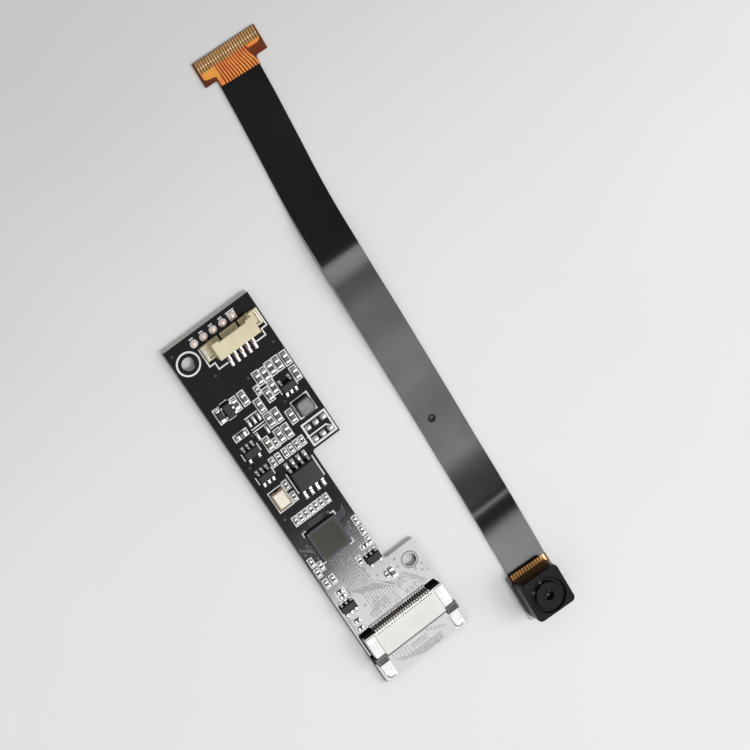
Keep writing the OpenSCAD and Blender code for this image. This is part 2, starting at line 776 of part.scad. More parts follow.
module contact_slots() {
    w = contact_w + 0.06;
    for (i = [0:flex_ways - 1]) translate([(i - (flex_ways - 1) / 2) * flex_pitch - w / 2, 0, 0]) {
        translate([0, socket_back - rear_wall - cut, socket_floor]) cube([w, rear_wall + 2 * cut, 0.55]);
        translate([0, socket_back - slot_deep, -cut]) cube([w, slot_deep + cut, socket_h + 2 * cut]);
    }
}

module socket_housing() {
    span = 2 * end_in;
    color([0.9, 0.89, 0.87]) on_socket() difference() {
        union() {
            translate([-end_in, socket_front, seat]) cube([span, socket_d, socket_floor - seat]);
            translate([-end_in, socket_back - rear_wall, seat]) cube([span, rear_wall, socket_h - seat]);
            translate([-end_in, socket_front, socket_h - socket_cover]) cube([span, socket_d, socket_cover]);
            // End blocks that carry the hold-downs
            end_x = (end_in + end_out - cut) / 2;
            for (s = [-1, 1]) translate([s * end_x, (end_front + socket_back) / 2, 0.2])
                slab([end_out - end_in + cut, socket_back - end_front, socket_h - 0.2 - clip_t]);
        }
        contact_slots();
        // Guides for the slider's arms
        for (s = [-1, 1]) translate([s * arm_x, (end_front + arm_end) / 2, arm_z - slide_gap])
            slab([arm_w + 2 * slide_gap, arm_end - end_front + 0.2, arm_h + 2 * slide_gap]);
        // Chamfer along the mouth
        translate([-end_in - cut, socket_front, socket_h]) rotate([45, 0, 0])
            translate([0, -0.12, -0.12]) cube([2 * end_in + 2 * cut, 0.24, 0.24]);
    }
}

module socket_contacts() {
    stem = socket_back - slot_deep;
    color([0.85, 0.8, 0.66]) on_socket() for (i = [0:flex_ways - 1])
        translate([(i - (flex_ways - 1) / 2) * flex_pitch - contact_w / 2, 0, 0]) rotate([90, 0, 90])
            linear_extrude(contact_w) polygon([
                [socket_front + 1.3, socket_floor], [stem, socket_floor], [stem, copper_t],
                [contact_end, copper_t], [contact_end, copper_t + 0.13], [stem + 0.3, copper_t + 0.13],
                [stem + 0.3, socket_h - 0.25], [stem, socket_h - 0.25], [stem, socket_floor + 0.14],
                [socket_front + 1.9, socket_floor + 0.14], [socket_front + 1.5, socket_floor + 0.24]
            ]);
}

module socket_hold_downs() {
    in = end_in + 0.2;
    back = socket_back - 0.25;
    color([0.93, 0.93, 0.92]) on_socket() for (s = [-1, 1]) mirror([s < 0 ? 1 : 0, 0, 0]) {
        translate([in, 1.2, copper_t]) cube([end_out - in + clip_t, back - 1.2, clip_t - copper_t + 0.04]);
        clip_l = back - end_front - 0.15;
        translate([end_out, end_front + 0.15, copper_t]) cube([clip_t, clip_l, socket_h - copper_t]);
        translate([in, end_front + 0.15, socket_h - clip_t]) cube([end_out - in + clip_t, clip_l, clip_t]);
    }
}

module lock_slider() {
    ear_in = end_in + 0.1;
    ear_z = 0.35;
    color([0.33, 0.33, 0.33]) on_socket() {
        // Bar that closes the mouth, and the tongue under the cover that presses on the flex tail
        translate([-end_in - 0.2, bar_front, tongue_z])
            cube([2 * end_in + 0.4, bar_d, socket_h - socket_cover - tongue_z]);
        translate([-tail_w / 2, socket_front - cut, tongue_z])
            cube([tail_w, socket_d - rear_wall - 0.3 + cut, tongue_t]);
        for (s = [-1, 1]) mirror([s < 0 ? 1 : 0, 0, 0]) difference() {
            union() {
                translate([ear_in, ear_front, ear_z]) cube([ear_w, ear_d, ear_h]);
                translate([arm_x - arm_w / 2, ear_front + ear_d - 0.2, arm_z])
                    cube([arm_w, arm_end - ear_front - ear_d, arm_h]);
            }
            // Finger grips across the ear, and its sloping front edge
            for (y = [0.4, 0.8])
                translate([ear_in + 0.35, ear_front + y, ear_z + ear_h - 0.12]) cube([ear_w - 0.7, 0.2, 1]);
            translate([ear_in - cut, ear_front, ear_z + ear_h]) rotate([45, 0, 0])
                translate([0, -0.2, -0.2]) cube([ear_w + 2 * cut, 0.4, 0.4]);
        }
    }
}

// ================= chips =================

module image_processor() {
    color([0.3, 0.3, 0.3]) on_board(deck) translate([processor_at[0], processor_at[1], 0]) difference() {
        slab([processor_w, processor_w, processor_h - copper_t - 0.1], copper_t + 0.1);
        // Dimple that marks the first lead
        translate([-processor_w / 2 + 0.7, processor_w / 2 - 0.7, processor_h - 0.05])
            cylinder(d = 0.6, h = 1);
    }
}

module processor_terminals() {
    side_leads = 12;
    color([0.8, 0.8, 0.78]) on_board(deck) translate([processor_at[0], processor_at[1], copper_t]) {
        for (turn = [0:3], i = [0:side_leads - 1]) rotate([0, 0, 90 * turn])
            translate([(i - (side_leads - 1) / 2) * 0.4, processor_w / 2 - 0.15, 0]) slab([0.2, 0.4, 0.1]);
        slab([processor_w - 1.6, processor_w - 1.6, 0.1]);
    }
}

module flash_memory() {
    color([0.29, 0.29, 0.29]) on_board(deck) translate([flash_at[0], flash_at[1], 0]) difference() {
        moulded_case(flash_body, copper_t + 0.1);
        translate([-1.9, -1.3, flash_body[2] + 0.09]) cylinder(d = 0.6, h = 1);
    }
}

module flash_memory_leads() {
    color([0.85, 0.85, 0.83]) on_board(deck) translate([flash_at[0], flash_at[1], copper_t])
        package_leads(flash_body, 1.27, 0.42, 0.2, 4, 4, 1.2, 0.7);
}

module regulators() {
    color([0.3, 0.3, 0.31]) on_board() for (p = regulator_sites)
        at_site(p) moulded_case(regulator_body, copper_t + 0.05);
}

module regulator_leads() {
    color([0.85, 0.85, 0.83]) on_board() for (p = regulator_sites) at_site(p, copper_t)
        package_leads(regulator_body, lead_pitch, lead_w, lead_t, p[3], p[4], 0.6, 0.35);
}

module power_inductor() {
    color([0.62, 0.62, 0.63]) on_board(deck) translate([inductor_at[0], inductor_at[1], 0]) union() {
        translate([0, 0, 0.2]) linear_extrude(0.25) round_rect(inductor_w, inductor_w, 0.4);
        translate([0, 0, 0.45]) cylinder(d = inductor_w - 0.9, h = inductor_h - 0.9);
        translate([0, 0, inductor_h - 0.45]) linear_extrude(0.45) round_rect(inductor_w, inductor_w, 0.9);
    }
}

module inductor_terminals() {
    color([0.85, 0.85, 0.83]) on_board(deck) translate([inductor_at[0], inductor_at[1], copper_t])
        for (s = [-1, 1]) translate([s * (inductor_w / 2 - 0.45), 0, 0]) slab([0.7, 1.9, 0.2 - copper_t]);
}

module crystal_case() {
    rim = 0.25;
    color([0.93, 0.88, 0.76]) on_board(deck) translate([crystal_at[0], crystal_at[1], 0]) difference() {
        slab([crystal_size[0], crystal_size[1], crystal_size[2] - copper_t], copper_t);
        slab([crystal_size[0] - 2 * rim, crystal_size[1] - 2 * rim, 1], crystal_size[2] - 0.1);
    }
}

module crystal_lid() {
    rim = 0.25;
    color([0.95, 0.92, 0.84]) on_board(deck) translate([crystal_at[0], crystal_at[1], 0])
        slab([crystal_size[0] - 2 * rim, crystal_size[1] - 2 * rim, 0.16], crystal_size[2] - 0.1);
}

module clamp_diode() {
    color([0.16, 0.16, 0.16]) on_board(deck) translate([diode_at[0], diode_at[1], 0])
        moulded_case(diode_body, copper_t + 0.02);
}

module clamp_diode_terminals() {
    color([0.85, 0.85, 0.83]) on_board(deck) translate([diode_at[0], diode_at[1], copper_t])
        package_leads(diode_body, 1, 0.6, 0.14, 1, 1, 0.6, 0.35);
}

module chip_capacitors() {
    color([0.62, 0.58, 0.52]) on_board() {
        for (p = big_capacitors) at_site(p) chip_body(big_chip);
        for (p = small_capacitors) at_site(p) chip_body(small_chip);
    }
}

module capacitor_terminals() {
    color([0.85, 0.85, 0.84]) on_board() {
        for (p = big_capacitors) at_site(p) chip_terminals(big_chip);
        for (p = small_capacitors) at_site(p) chip_terminals(small_chip);
    }
}

resistor_big = [big_chip[0], big_chip[1], 0.45];
resistor_small = [small_chip[0], small_chip[1], 0.32];

module chip_resistors() {
    color([0.15, 0.15, 0.16]) on_board() {
        for (p = big_resistors) at_site(p) chip_body(resistor_big);
        for (p = small_resistors) at_site(p) chip_body(resistor_small);
    }
}

module resistor_terminals() {
    color([0.85, 0.85, 0.84]) on_board() {
        for (p = big_resistors) at_site(p) chip_terminals(resistor_big);
        for (p = small_resistors) at_site(p) chip_terminals(resistor_small);
    }
}

// ================= flexible circuit =================

film_z = stiffener_t;
last_station = len(flex_points) - 1;

module tail_outline() {
    square([tail_w, tail_l], center = true);
    translate([0, -tail_l / 2 - neck_l / 2]) square([flex_w, neck_l + cut], center = true);
    // Round corners between the tail and the neck
    for (s = [0, 1]) mirror([s, 0]) translate([flex_w / 2, -tail_l / 2]) mirror([0, 1]) difference() {
        square(0.5);
        translate([0.5, 0.5]) circle(0.5);
    }
}

module flex_film() {
    color([0.45, 0.24, 0.1]) union() {
        on_tail(film_z) linear_extrude(film_t) tail_outline();
        ribbon(cover_first - 1, last_station, -flex_w / 2, flex_w / 2, 0, film_t);
        on_head() translate([0, 0, film_z]) linear_extrude(film_t) round_rect(holder_w, holder_w, holder_r);
    }
}

module flex_upper_cover() {
    color([0.12, 0.12, 0.12])
        ribbon(cover_first, cover_last, -flex_w / 2, flex_w / 2, film_t, film_t + cover_t);
}

module flex_lower_cover() {
    color([0.12, 0.12, 0.12])
        ribbon(cover_first + 1, cover_last - 1, -flex_w / 2, flex_w / 2, -cover_t, 0);
}

function finger_x(i) = (i - (flex_ways - 1) / 2) * flex_pitch;
finger_foot = tail_l / 2 - finger_l;
neck_foot = -tail_l / 2 - neck_l + 0.35;
// Share of the sideways shift that a track has made after the share t of its way
function s_curve(t) = t * t * (3 - 2 * t);

module tail_track(i) {
    steps = 8;
    middle = (left_ground + flex_ways - right_ground - 1) / 2;
    x = finger_x(i);
    u = (i - middle) * flex_track_pitch + track_shift;
    top = finger_foot - flex_track_w / 2;
    track([
        for (k = [0:steps])
            let (t = k / steps)
            [x + (u - x) * s_curve(t), top + (neck_foot - finger_foot) * t]
    ], flex_track_w);
}

// Broad copper on both sides of the tail
module tail_grounds() {
    left = finger_x(0) - finger_w / 2;
    polygon([
        [left, finger_foot], [finger_x(left_ground) - 0.35, finger_foot], [-3.05, -1.1], [-2.95, neck_foot],
        [-flex_w / 2 + 0.15, neck_foot], [-flex_w / 2 + 0.1, -1.6], [left + 0.3, -1.2], [left, -0.8]
    ]);
    right = finger_x(flex_ways - 1) + finger_w / 2;
    inner = finger_x(flex_ways - right_ground);
    polygon([[right, finger_foot], [inner - 0.1, finger_foot], [inner + 0.1, -0.5], [right - 0.6, -0.5], [right, -0.1]]);
}

module flex_tracks() {
    color([0.85, 0.5, 0.2]) {
        on_tail(film_z + film_t) linear_extrude(flex_copper_t) union() {
            for (i = [left_ground:flex_ways - right_ground - 1]) tail_track(i);
            tail_grounds();
        }
        for (i = [0:window_tracks - 1])
            let (u = (i - (window_tracks - 1) / 2) * 0.56)
            ribbon(cover_last, window_last, u - 0.2, u + 0.2, film_t, film_t + flex_copper_t);
    }
}

module tail_contacts() {
    color([0.75, 0.65, 0.45]) on_tail(film_z + film_t) for (i = [0:flex_ways - 1])
        translate([finger_x(i), tail_l / 2 - finger_l / 2, 0]) slab([finger_w, finger_l, flex_copper_t]);
}

module tail_stiffener() {
    color([0.4, 0.3, 0.15]) on_tail() translate([0, 0.3, 0]) slab([tail_w, tail_l - 0.6, stiffener_t]);
}

// ================= camera head =================

module head_stiffener() {
    color([0.7, 0.7, 0.68]) on_head() translate([0, 0.4, 0]) linear_extrude(stiffener_t)
        round_rect(holder_w + 2 * stiffener_over, holder_w + 2 * stiffener_over + 0.8, 0.5);
}

module image_sensor() {
    color([0.3, 0.32, 0.38]) on_lens_axis() slab(sensor_size, holder_base);
}

module head_capacitors() {
    room = holder_w / 2 - holder_wall - 0.45;
    color([0.6, 0.5, 0.4]) on_head() for (x = [-2.2, 0, 2.2])
        translate([x, room, holder_base]) slab([1, 0.5, 0.45]);
}

module lens_holder() {
    room_w = holder_w - 2 * holder_wall;
    color([0.1, 0.1, 0.105]) on_head() difference() {
        translate([0, 0, holder_base]) linear_extrude(holder_top - holder_base)
            round_rect(holder_w, holder_w, holder_r);
        translate([0, 0, holder_base - cut]) slab([room_w, room_w, sensor_room_h + cut]);
        translate([0, -lens_offset, holder_base + sensor_room_h - cut]) {
            slab([filter_w + 0.04, filter_w + 0.04, filter_t + cut]);
            cylinder(r = 2.2, h = filter_t + filter_web + 2 * cut);
        }
        translate([0, -lens_offset, barrel_base]) {
            cylinder(r = thread_r + thread_gap, h = head_h);
            translate([0, 0, thread_h]) cylinder(r = groove_r, h = head_h);
        }
    }
}

module infrared_filter() {
    color([0.45, 0.6, 0.65, 0.6]) on_lens_axis()
        slab([filter_w, filter_w, filter_t], holder_base + sensor_room_h);
}

module lens_barrel() {
    z1 = ring_t + lens_t + spacer_t;
    z2 = z1 + lens_t + 0.05;
    z3 = z2 + lens_t + 0.05;
    color([0.14, 0.14, 0.145]) on_lens_axis() translate([0, 0, barrel_base]) difference() {
        rotate_extrude() polygon([
            [rear_lens_r, 0], [thread_r, 0], [thread_r, thread_h], [barrel_face_r, thread_h],
            [barrel_face_r, barrel_h - 0.1], [barrel_face_r - 0.1, barrel_h], [aperture_r + 0.25, barrel_h],
            [aperture_r, z3 + stop_t], [aperture_r, z3], [front_lens_r, z3], [front_lens_r, z2],
            [middle_lens_r, z2], [middle_lens_r, z1], [rear_lens_r, z1]
        ]);
        // Notches in the rim for the focusing key
        for (i = [0:key_notches - 1]) rotate([0, 0, 20 + i * 360 / key_notches])
            translate([barrel_face_r - 0.2, -0.15, barrel_h - 0.35]) cube([1, 0.3, 1]);
    }
}

// A lens with a flat rim and a domed front
module lens(r, rim_t, dome_r, dome_h) {
    ball = (dome_r * dome_r + dome_h * dome_h) / (2 * dome_h);
    cylinder(r = r, h = rim_t);
    intersection() {
        translate([0, 0, rim_t + dome_h - ball]) sphere(r = ball);
        cylinder(r = dome_r, h = rim_t + dome_h + cut);
    }
}

module retaining_ring() {
    color([0.13, 0.13, 0.13]) on_lens_axis() translate([0, 0, barrel_base]) tube(rear_lens_r, 1.6, ring_t);
}

module rear_lens() {
    color([0.6, 0.7, 0.7, 0.6]) on_lens_axis() translate([0, 0, barrel_base + ring_t])
        cylinder(r = rear_lens_r, h = lens_t);
}

module lens_spacer() {
    color([0.13, 0.13, 0.13]) on_lens_axis() translate([0, 0, barrel_base + ring_t + lens_t])
        tube(rear_lens_r, 1.4, spacer_t);
}

module middle_lens() {
    color([0.6, 0.7, 0.7, 0.6]) on_lens_axis() translate([0, 0, barrel_base + ring_t + lens_t + spacer_t])
        cylinder(r = middle_lens_r, h = lens_t);
}

module front_lens() {
    z2 = ring_t + 2 * lens_t + spacer_t + 0.05;
    color([0.55, 0.6, 0.75, 0.6]) on_lens_axis() translate([0, 0, barrel_base + z2])
        lens(front_lens_r, lens_t + 0.05, aperture_r - 0.03, 0.22);
}

module locking_adhesive() {
    mid_r = (groove_r + barrel_face_r) / 2;
    color([0.75, 0.75, 0.72]) on_lens_axis() for (a = [95, 138]) rotate([0, 0, a])
        translate([mid_r, 0, barrel_base + thread_h])
            cylinder(r = (groove_r - barrel_face_r) / 2 - 0.02, h = groove_h * 0.7);
}

circuit_board();
copper_tracks();
solder_lands();
legend_print();
through_hole_solder();
header_housing();
header_contacts();
header_solder_tabs();
socket_housing();
socket_contacts();
socket_hold_downs();
lock_slider();
image_processor();
processor_terminals();
flash_memory();
flash_memory_leads();
regulators();
regulator_leads();
power_inductor();
inductor_terminals();
crystal_case();
crystal_lid();
clamp_diode();
clamp_diode_terminals();
chip_capacitors();
capacitor_terminals();
chip_resistors();
resistor_terminals();
flex_film();
flex_upper_cover();
flex_lower_cover();
flex_tracks();
tail_contacts();
tail_stiffener();
head_stiffener();
image_sensor();
head_capacitors();
lens_holder();
infrared_filter();
lens_barrel();
front_lens();
middle_lens();
rear_lens();
lens_spacer();
retaining_ring();
locking_adhesive();
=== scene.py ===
# %% [markdown]
# # A USB camera module, dressed from its solid model
#
# The object is a small electronics kit in two halves that plug together. One half is a long, narrow
# controller board full of chips. The other half is a flexible printed circuit with a tiny camera
# at one end and a wide plug-in tail at the other. A solid model of every piece exists already, and
# this lesson gives each of them a believable surface. The first cell loads that model. Nothing in
# it may be moved or reshaped: what needs a softer form is a new piece that stands for the old one.

# %% Load the solid model
import json
import math
import bmesh
import bpy
from mathutils import Matrix, Vector

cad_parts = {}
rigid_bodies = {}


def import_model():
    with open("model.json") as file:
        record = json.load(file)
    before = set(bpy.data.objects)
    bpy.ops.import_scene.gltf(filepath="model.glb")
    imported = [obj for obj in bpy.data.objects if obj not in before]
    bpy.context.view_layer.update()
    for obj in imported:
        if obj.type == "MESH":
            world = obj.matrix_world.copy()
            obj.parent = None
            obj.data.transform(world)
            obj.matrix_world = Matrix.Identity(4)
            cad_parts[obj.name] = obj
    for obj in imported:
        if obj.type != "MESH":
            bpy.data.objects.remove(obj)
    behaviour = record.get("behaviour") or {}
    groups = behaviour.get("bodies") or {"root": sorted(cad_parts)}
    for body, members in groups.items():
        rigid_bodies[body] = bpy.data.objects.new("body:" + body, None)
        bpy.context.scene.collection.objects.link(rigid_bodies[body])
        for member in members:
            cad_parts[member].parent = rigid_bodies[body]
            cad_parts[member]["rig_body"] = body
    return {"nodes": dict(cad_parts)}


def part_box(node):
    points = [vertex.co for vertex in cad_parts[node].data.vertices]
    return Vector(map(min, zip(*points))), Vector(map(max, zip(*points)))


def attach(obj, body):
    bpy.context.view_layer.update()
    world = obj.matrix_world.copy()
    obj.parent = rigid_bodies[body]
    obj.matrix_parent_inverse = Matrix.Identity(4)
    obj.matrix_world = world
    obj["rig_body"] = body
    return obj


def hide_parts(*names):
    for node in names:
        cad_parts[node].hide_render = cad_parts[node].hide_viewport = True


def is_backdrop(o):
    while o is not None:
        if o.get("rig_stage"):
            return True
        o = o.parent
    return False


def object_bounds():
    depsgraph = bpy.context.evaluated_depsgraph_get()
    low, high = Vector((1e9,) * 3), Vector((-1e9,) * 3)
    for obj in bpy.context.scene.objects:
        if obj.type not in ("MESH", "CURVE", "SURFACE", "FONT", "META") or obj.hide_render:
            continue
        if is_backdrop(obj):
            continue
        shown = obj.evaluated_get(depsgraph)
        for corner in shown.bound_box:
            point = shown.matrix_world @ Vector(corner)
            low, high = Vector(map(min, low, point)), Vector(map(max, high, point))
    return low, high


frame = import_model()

MM = 0.001
cad_low, cad_high = (Vector(corner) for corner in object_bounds())
print("solid model spans", [round(v / MM, 1) for v in (cad_high - cad_low)], "mm")


# %% [markdown]
# ## Camera
#
# The two halves lie flat and are seen from well above, a little from the wire-header end. A camera
# can be placed by typing its coordinates, but a target, a distance and three angles say more: they
# can be read as a person would describe the view. The roll turns the picture so that both halves
# run diagonally. A long focal length from far away keeps the board's edges nearly parallel.

# %% Camera
target_from_middle = Vector((6.3, -4.3, 0)) * MM
view_target = (cad_low + cad_high) / 2 + target_from_middle
view_target.z = 0
view_distance = 645 * MM
view_height_angle = math.radians(68.6)
view_turn = math.radians(117.53)
view_roll = math.radians(-117.23)
focal_length = 181.4

to_camera = Vector((
    math.cos(view_height_angle) * math.cos(view_turn),
    math.cos(view_height_angle) * math.sin(view_turn),
    math.sin(view_height_angle),
))
camera_data = bpy.data.cameras.new("camera")
camera_data.lens = focal_length
camera_data.clip_start = 0.01
camera = bpy.data.objects.new("camera", camera_data)
camera.rotation_mode = "QUATERNION"
camera.location = view_target + to_camera * view_distance
facing = (-to_camera).to_track_quat("-Z", "Y")
rolled = facing.to_matrix() @ Matrix.Rotation(-view_roll, 3, "Z")
camera.rotation_quaternion = rolled.to_quaternion()
bpy.context.scene.collection.objects.link(camera)
bpy.context.scene.camera = camera
print("camera at", [round(v / MM) for v in camera.location], "mm")


# %% [markdown]
# ## Floor, lamp and room light
#
# The halves lie on a sheet of pale paper. Room light comes from everywhere and keeps the shadows
# weak. One small lamp stands opposite the camera, so that flat, glossy things mirror it: the lower
# end of the board and parts of the flex turn light grey, while the rest stays black. Its place
# follows from the mirror law, written here as a slope away from straight up. A broad lamp stands
# lower, beside the flex: it leaves the faces that look towards the header end in mild shade, and
# puts highlights on solder and rounded edges.

# %% Floor
def tint(red, green, blue):
    """A colour given as screen values from 0 to 255, turned into the linear values that shaders use."""
    linear = [((c / 255 + 0.055) / 1.055) ** 2.4 if c > 10 else c / 3295 for c in (red, green, blue)]
    return (*linear, 1.0)


def grey(value, warm=0.0):
    """A grey, made a little warmer by adding to its red and taking from its blue."""
    return tint(value + warm, value, value - warm)


floor_mesh = bpy.data.meshes.new("floor")
half_floor = 1.5
corners = [
    (-half_floor, -half_floor, 0), (half_floor, -half_floor, 0),
    (half_floor, half_floor, 0), (-half_floor, half_floor, 0),
]
floor_mesh.from_pydata(corners, [], [(0, 1, 2, 3)])
floor = bpy.data.objects.new("floor", floor_mesh)
bpy.context.scene.collection.objects.link(floor)
floor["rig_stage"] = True
print("floor is", 2 * half_floor, "m wide")


# %% Lamps and room light
def square_lamp(name, slope, distance, side, watts):
    """A square lamp that faces the view target; slope is its way from the target, per unit of height."""
    data = bpy.data.lights.new(name, "AREA")
    data.shape = "SQUARE"
    data.size = side
    data.energy = watts
    made = bpy.data.objects.new(name, data)
    made.location = view_target + Vector((*slope, 1.0)).normalized() * distance
    made.rotation_mode = "QUATERNION"
    made.rotation_quaternion = (view_target - made.location).to_track_quat("-Z", "Y")
    bpy.context.scene.collection.objects.link(made)
    return made


glare_lamp = square_lamp("glare_lamp", (0.15, -0.55), 0.8, 0.17, 2.2)
broad_lamp = square_lamp("broad_lamp", (1.1, -0.8), 1.0, 0.7, 4.5)

world = bpy.data.worlds.new("room")
bpy.context.scene.world = world
world.use_nodes = True
room_light = world.node_tree.nodes["Background"]
room_light.inputs["Color"].default_value = (1.0, 1.0, 1.0, 1.0)
room_light.inputs["Strength"].default_value = 0.55
bpy.context.scene.view_settings.view_transform = "Standard"
print("lamps stand", [round(lamp.location.z, 2) for lamp in (glare_lamp, broad_lamp)], "m above the floor")


# %% [markdown]
# ## Surface effects shared by many finishes
#
# Small electronics are never one flat colour: mouldings have a fine grain, metal is dull in places,
# and gloss carries a faint haze. These effects return in nearly every finish, so each one is a node
# group with its own inputs. A group only puts out colours and values. The shader stays in the
# material, where its plain numbers can be read. A small helper makes each group, and
# the first effect made with it is the mottle.

# %% Mottle: two tones in soft patches
def effect_group(name, inputs, outputs):
    """Makes an empty group and returns it with its input and output nodes."""
    group = bpy.data.node_groups.new(name, "ShaderNodeTree")
    for label, kind, value in inputs:
        socket = group.interface.new_socket(label, in_out="INPUT", socket_type=kind)
        socket.default_value = value
    for label, kind in outputs:
        group.interface.new_socket(label, in_out="OUTPUT", socket_type=kind)
    return group, group.nodes.new("NodeGroupInput"), group.nodes.new("NodeGroupOutput")


FLOAT, COLOR = "NodeSocketFloat", "NodeSocketColor"
mottle, given, put = effect_group(
    "mottle",
    [("Tone", COLOR, (0.5, 0.5, 0.5, 1)), ("Other Tone", COLOR, (0.4, 0.4, 0.4, 1)),
     ("Patches", FLOAT, 800.0), ("Sharpness", FLOAT, 0.3)],
    [("Color", COLOR)],
)
links = mottle.links
place = mottle.nodes.new("ShaderNodeTexCoord")
noise = mottle.nodes.new("ShaderNodeTexNoise")
noise.inputs["Detail"].default_value = 4.0
# Sharpness 0 blends over noise values from 0.1 to 0.9, and sharpness 1 makes a hard edge at 0.5
low_edge = mottle.nodes.new("ShaderNodeMath")
low_edge.operation = "MULTIPLY_ADD"
low_edge.inputs[1].default_value = 0.4
low_edge.inputs[2].default_value = 0.1
high_edge = mottle.nodes.new("ShaderNodeMath")
high_edge.operation = "SUBTRACT"
high_edge.inputs[0].default_value = 1.0
spread = mottle.nodes.new("ShaderNodeMapRange")
spread.interpolation_type = "SMOOTHSTEP"
blend = mottle.nodes.new("ShaderNodeMix")
blend.data_type = "RGBA"
links.new(place.outputs["Object"], noise.inputs["Vector"])
links.new(given.outputs["Patches"], noise.inputs["Scale"])
links.new(given.outputs["Sharpness"], low_edge.inputs[0])
links.new(low_edge.outputs[0], high_edge.inputs[1])
links.new(noise.outputs["Fac"], spread.inputs["Value"])
links.new(low_edge.outputs[0], spread.inputs["From Min"])
links.new(high_edge.outputs[0], spread.inputs["From Max"])
links.new(spread.outputs["Result"], blend.inputs["Factor"])
links.new(given.outputs["Tone"], blend.inputs["A"])
links.new(given.outputs["Other Tone"], blend.inputs["B"])
links.new(blend.outputs["Result"], put.inputs["Color"])
print("mottle has", len(mottle.nodes), "nodes")

# %% Haze: gloss that varies from place to place
haze, given, put = effect_group(
    "haze",
    [("Smooth", FLOAT, 0.3), ("Rough", FLOAT, 0.5), ("Patches", FLOAT, 120.0)],
    [("Roughness", FLOAT)],
)
links = haze.links
place = haze.nodes.new("ShaderNodeTexCoord")
noise = haze.nodes.new("ShaderNodeTexNoise")
noise.inputs["Detail"].default_value = 3.0
spread = haze.nodes.new("ShaderNodeMapRange")
# Most of the noise lies between these two values
spread.inputs["From Min"].default_value = 0.3
spread.inputs["From Max"].default_value = 0.7
links.new(place.outputs["Object"], noise.inputs["Vector"])
links.new(given.outputs["Patches"], noise.inputs["Scale"])
links.new(noise.outputs["Fac"], spread.inputs["Value"])
links.new(given.outputs["Smooth"], spread.inputs["To Min"])
links.new(given.outputs["Rough"], spread.inputs["To Max"])
links.new(spread.outputs["Result"], put.inputs["Roughness"])
print("haze has", len(haze.nodes), "nodes")

# %% Grain: fine relief for mouldings, sinter and paper
grain, given, put = effect_group(
    "grain",
    [("Coarse", FLOAT, 3000.0), ("Fine", FLOAT, 12000.0), ("Fine Share", FLOAT, 0.4)],
    [("Height", FLOAT)],
)
links = grain.links
place = grain.nodes.new("ShaderNodeTexCoord")
big = grain.nodes.new("ShaderNodeTexNoise")
small = grain.nodes.new("ShaderNodeTexNoise")
both = grain.nodes.new("ShaderNodeMix")
links.new(place.outputs["Object"], big.inputs["Vector"])
links.new(place.outputs["Object"], small.inputs["Vector"])
links.new(given.outputs["Coarse"], big.inputs["Scale"])
links.new(given.outputs["Fine"], small.inputs["Scale"])
links.new(given.outputs["Fine Share"], both.inputs["Factor"])
links.new(big.outputs["Fac"], both.inputs["A"])
links.new(small.outputs["Fac"], both.inputs["B"])
links.new(both.outputs["Result"], put.inputs["Height"])
print("grain has", len(grain.nodes), "nodes")


# %% [markdown]
# ## Masks for a second tone
#
# One piece can show more than one tone. The cut walls of a black board are bare laminate, the
# processor is bluish along its rim, and the tin round one screw hole is duller than the rest.
# Some masks carry painted light and shade as well: a paler end wall on the board, a nearly black
# rear wall on the socket, and paper that grows lighter towards the lamps.
# Painting this would need a picture. A mask that is worked out from where a point lies, or from the
# way its face looks, needs none.

# %% Rim: a mask that grows towards the outline of a square part
rim_group, given, put = effect_group(
    "rim",
    [("Middle X", FLOAT, 0.0), ("Middle Y", FLOAT, 0.0), ("Half Size", FLOAT, 0.003),
     ("Width", FLOAT, 0.0005)],
    [("Mask", FLOAT)],
)
links = rim_group.links
place = rim_group.nodes.new("ShaderNodeTexCoord")
apart = rim_group.nodes.new("ShaderNodeSeparateXYZ")
links.new(place.outputs["Object"], apart.inputs["Vector"])
reaches = []
for axis in ("X", "Y"):
    away = rim_group.nodes.new("ShaderNodeMath")
    away.operation = "SUBTRACT"
    reach = rim_group.nodes.new("ShaderNodeMath")
    reach.operation = "ABSOLUTE"
    links.new(apart.outputs[axis], away.inputs[0])
    links.new(given.outputs["Middle " + axis], away.inputs[1])
    links.new(away.outputs[0], reach.inputs[0])
    reaches.append(reach)
# A smooth maximum rounds the corners of the inner field
farthest = rim_group.nodes.new("ShaderNodeMath")
farthest.operation = "SMOOTH_MAX"
corner_rounding = 1.0 * MM
farthest.inputs[2].default_value = corner_rounding
inner = rim_group.nodes.new("ShaderNodeMath")
inner.operation = "SUBTRACT"
spread = rim_group.nodes.new("ShaderNodeMapRange")
spread.interpolation_type = "SMOOTHSTEP"
links.new(reaches[0].outputs[0], farthest.inputs[0])
links.new(reaches[1].outputs[0], farthest.inputs[1])
links.new(given.outputs["Half Size"], inner.inputs[0])
links.new(given.outputs["Width"], inner.inputs[1])
links.new(farthest.outputs[0], spread.inputs["Value"])
links.new(inner.outputs[0], spread.inputs["From Min"])
links.new(given.outputs["Half Size"], spread.inputs["From Max"])
links.new(spread.outputs["Result"], put.inputs["Mask"])
print("rim has", len(rim_group.nodes), "nodes")

# %% Walls: a mask for the faces that stand upright
walls_group, given, put = effect_group("walls", [], [("Mask", FLOAT)])
links = walls_group.links
place = walls_group.nodes.new("ShaderNodeTexCoord")
apart = walls_group.nodes.new("ShaderNodeSeparateXYZ")
upright = walls_group.nodes.new("ShaderNodeMath")
upright.operation = "ABSOLUTE"
spread = walls_group.nodes.new("ShaderNodeMapRange")
# The mask starts on faces that lean by 60 degrees and is full from about 78 degrees on
spread.inputs["From Min"].default_value = 0.5
spread.inputs["From Max"].default_value = 0.2
links.new(place.outputs["Normal"], apart.inputs["Vector"])
links.new(apart.outputs["Z"], upright.inputs[0])
links.new(upright.outputs[0], spread.inputs["Value"])
links.new(spread.outputs["Result"], put.inputs["Mask"])
print("walls has", len(walls_group.nodes), "nodes")
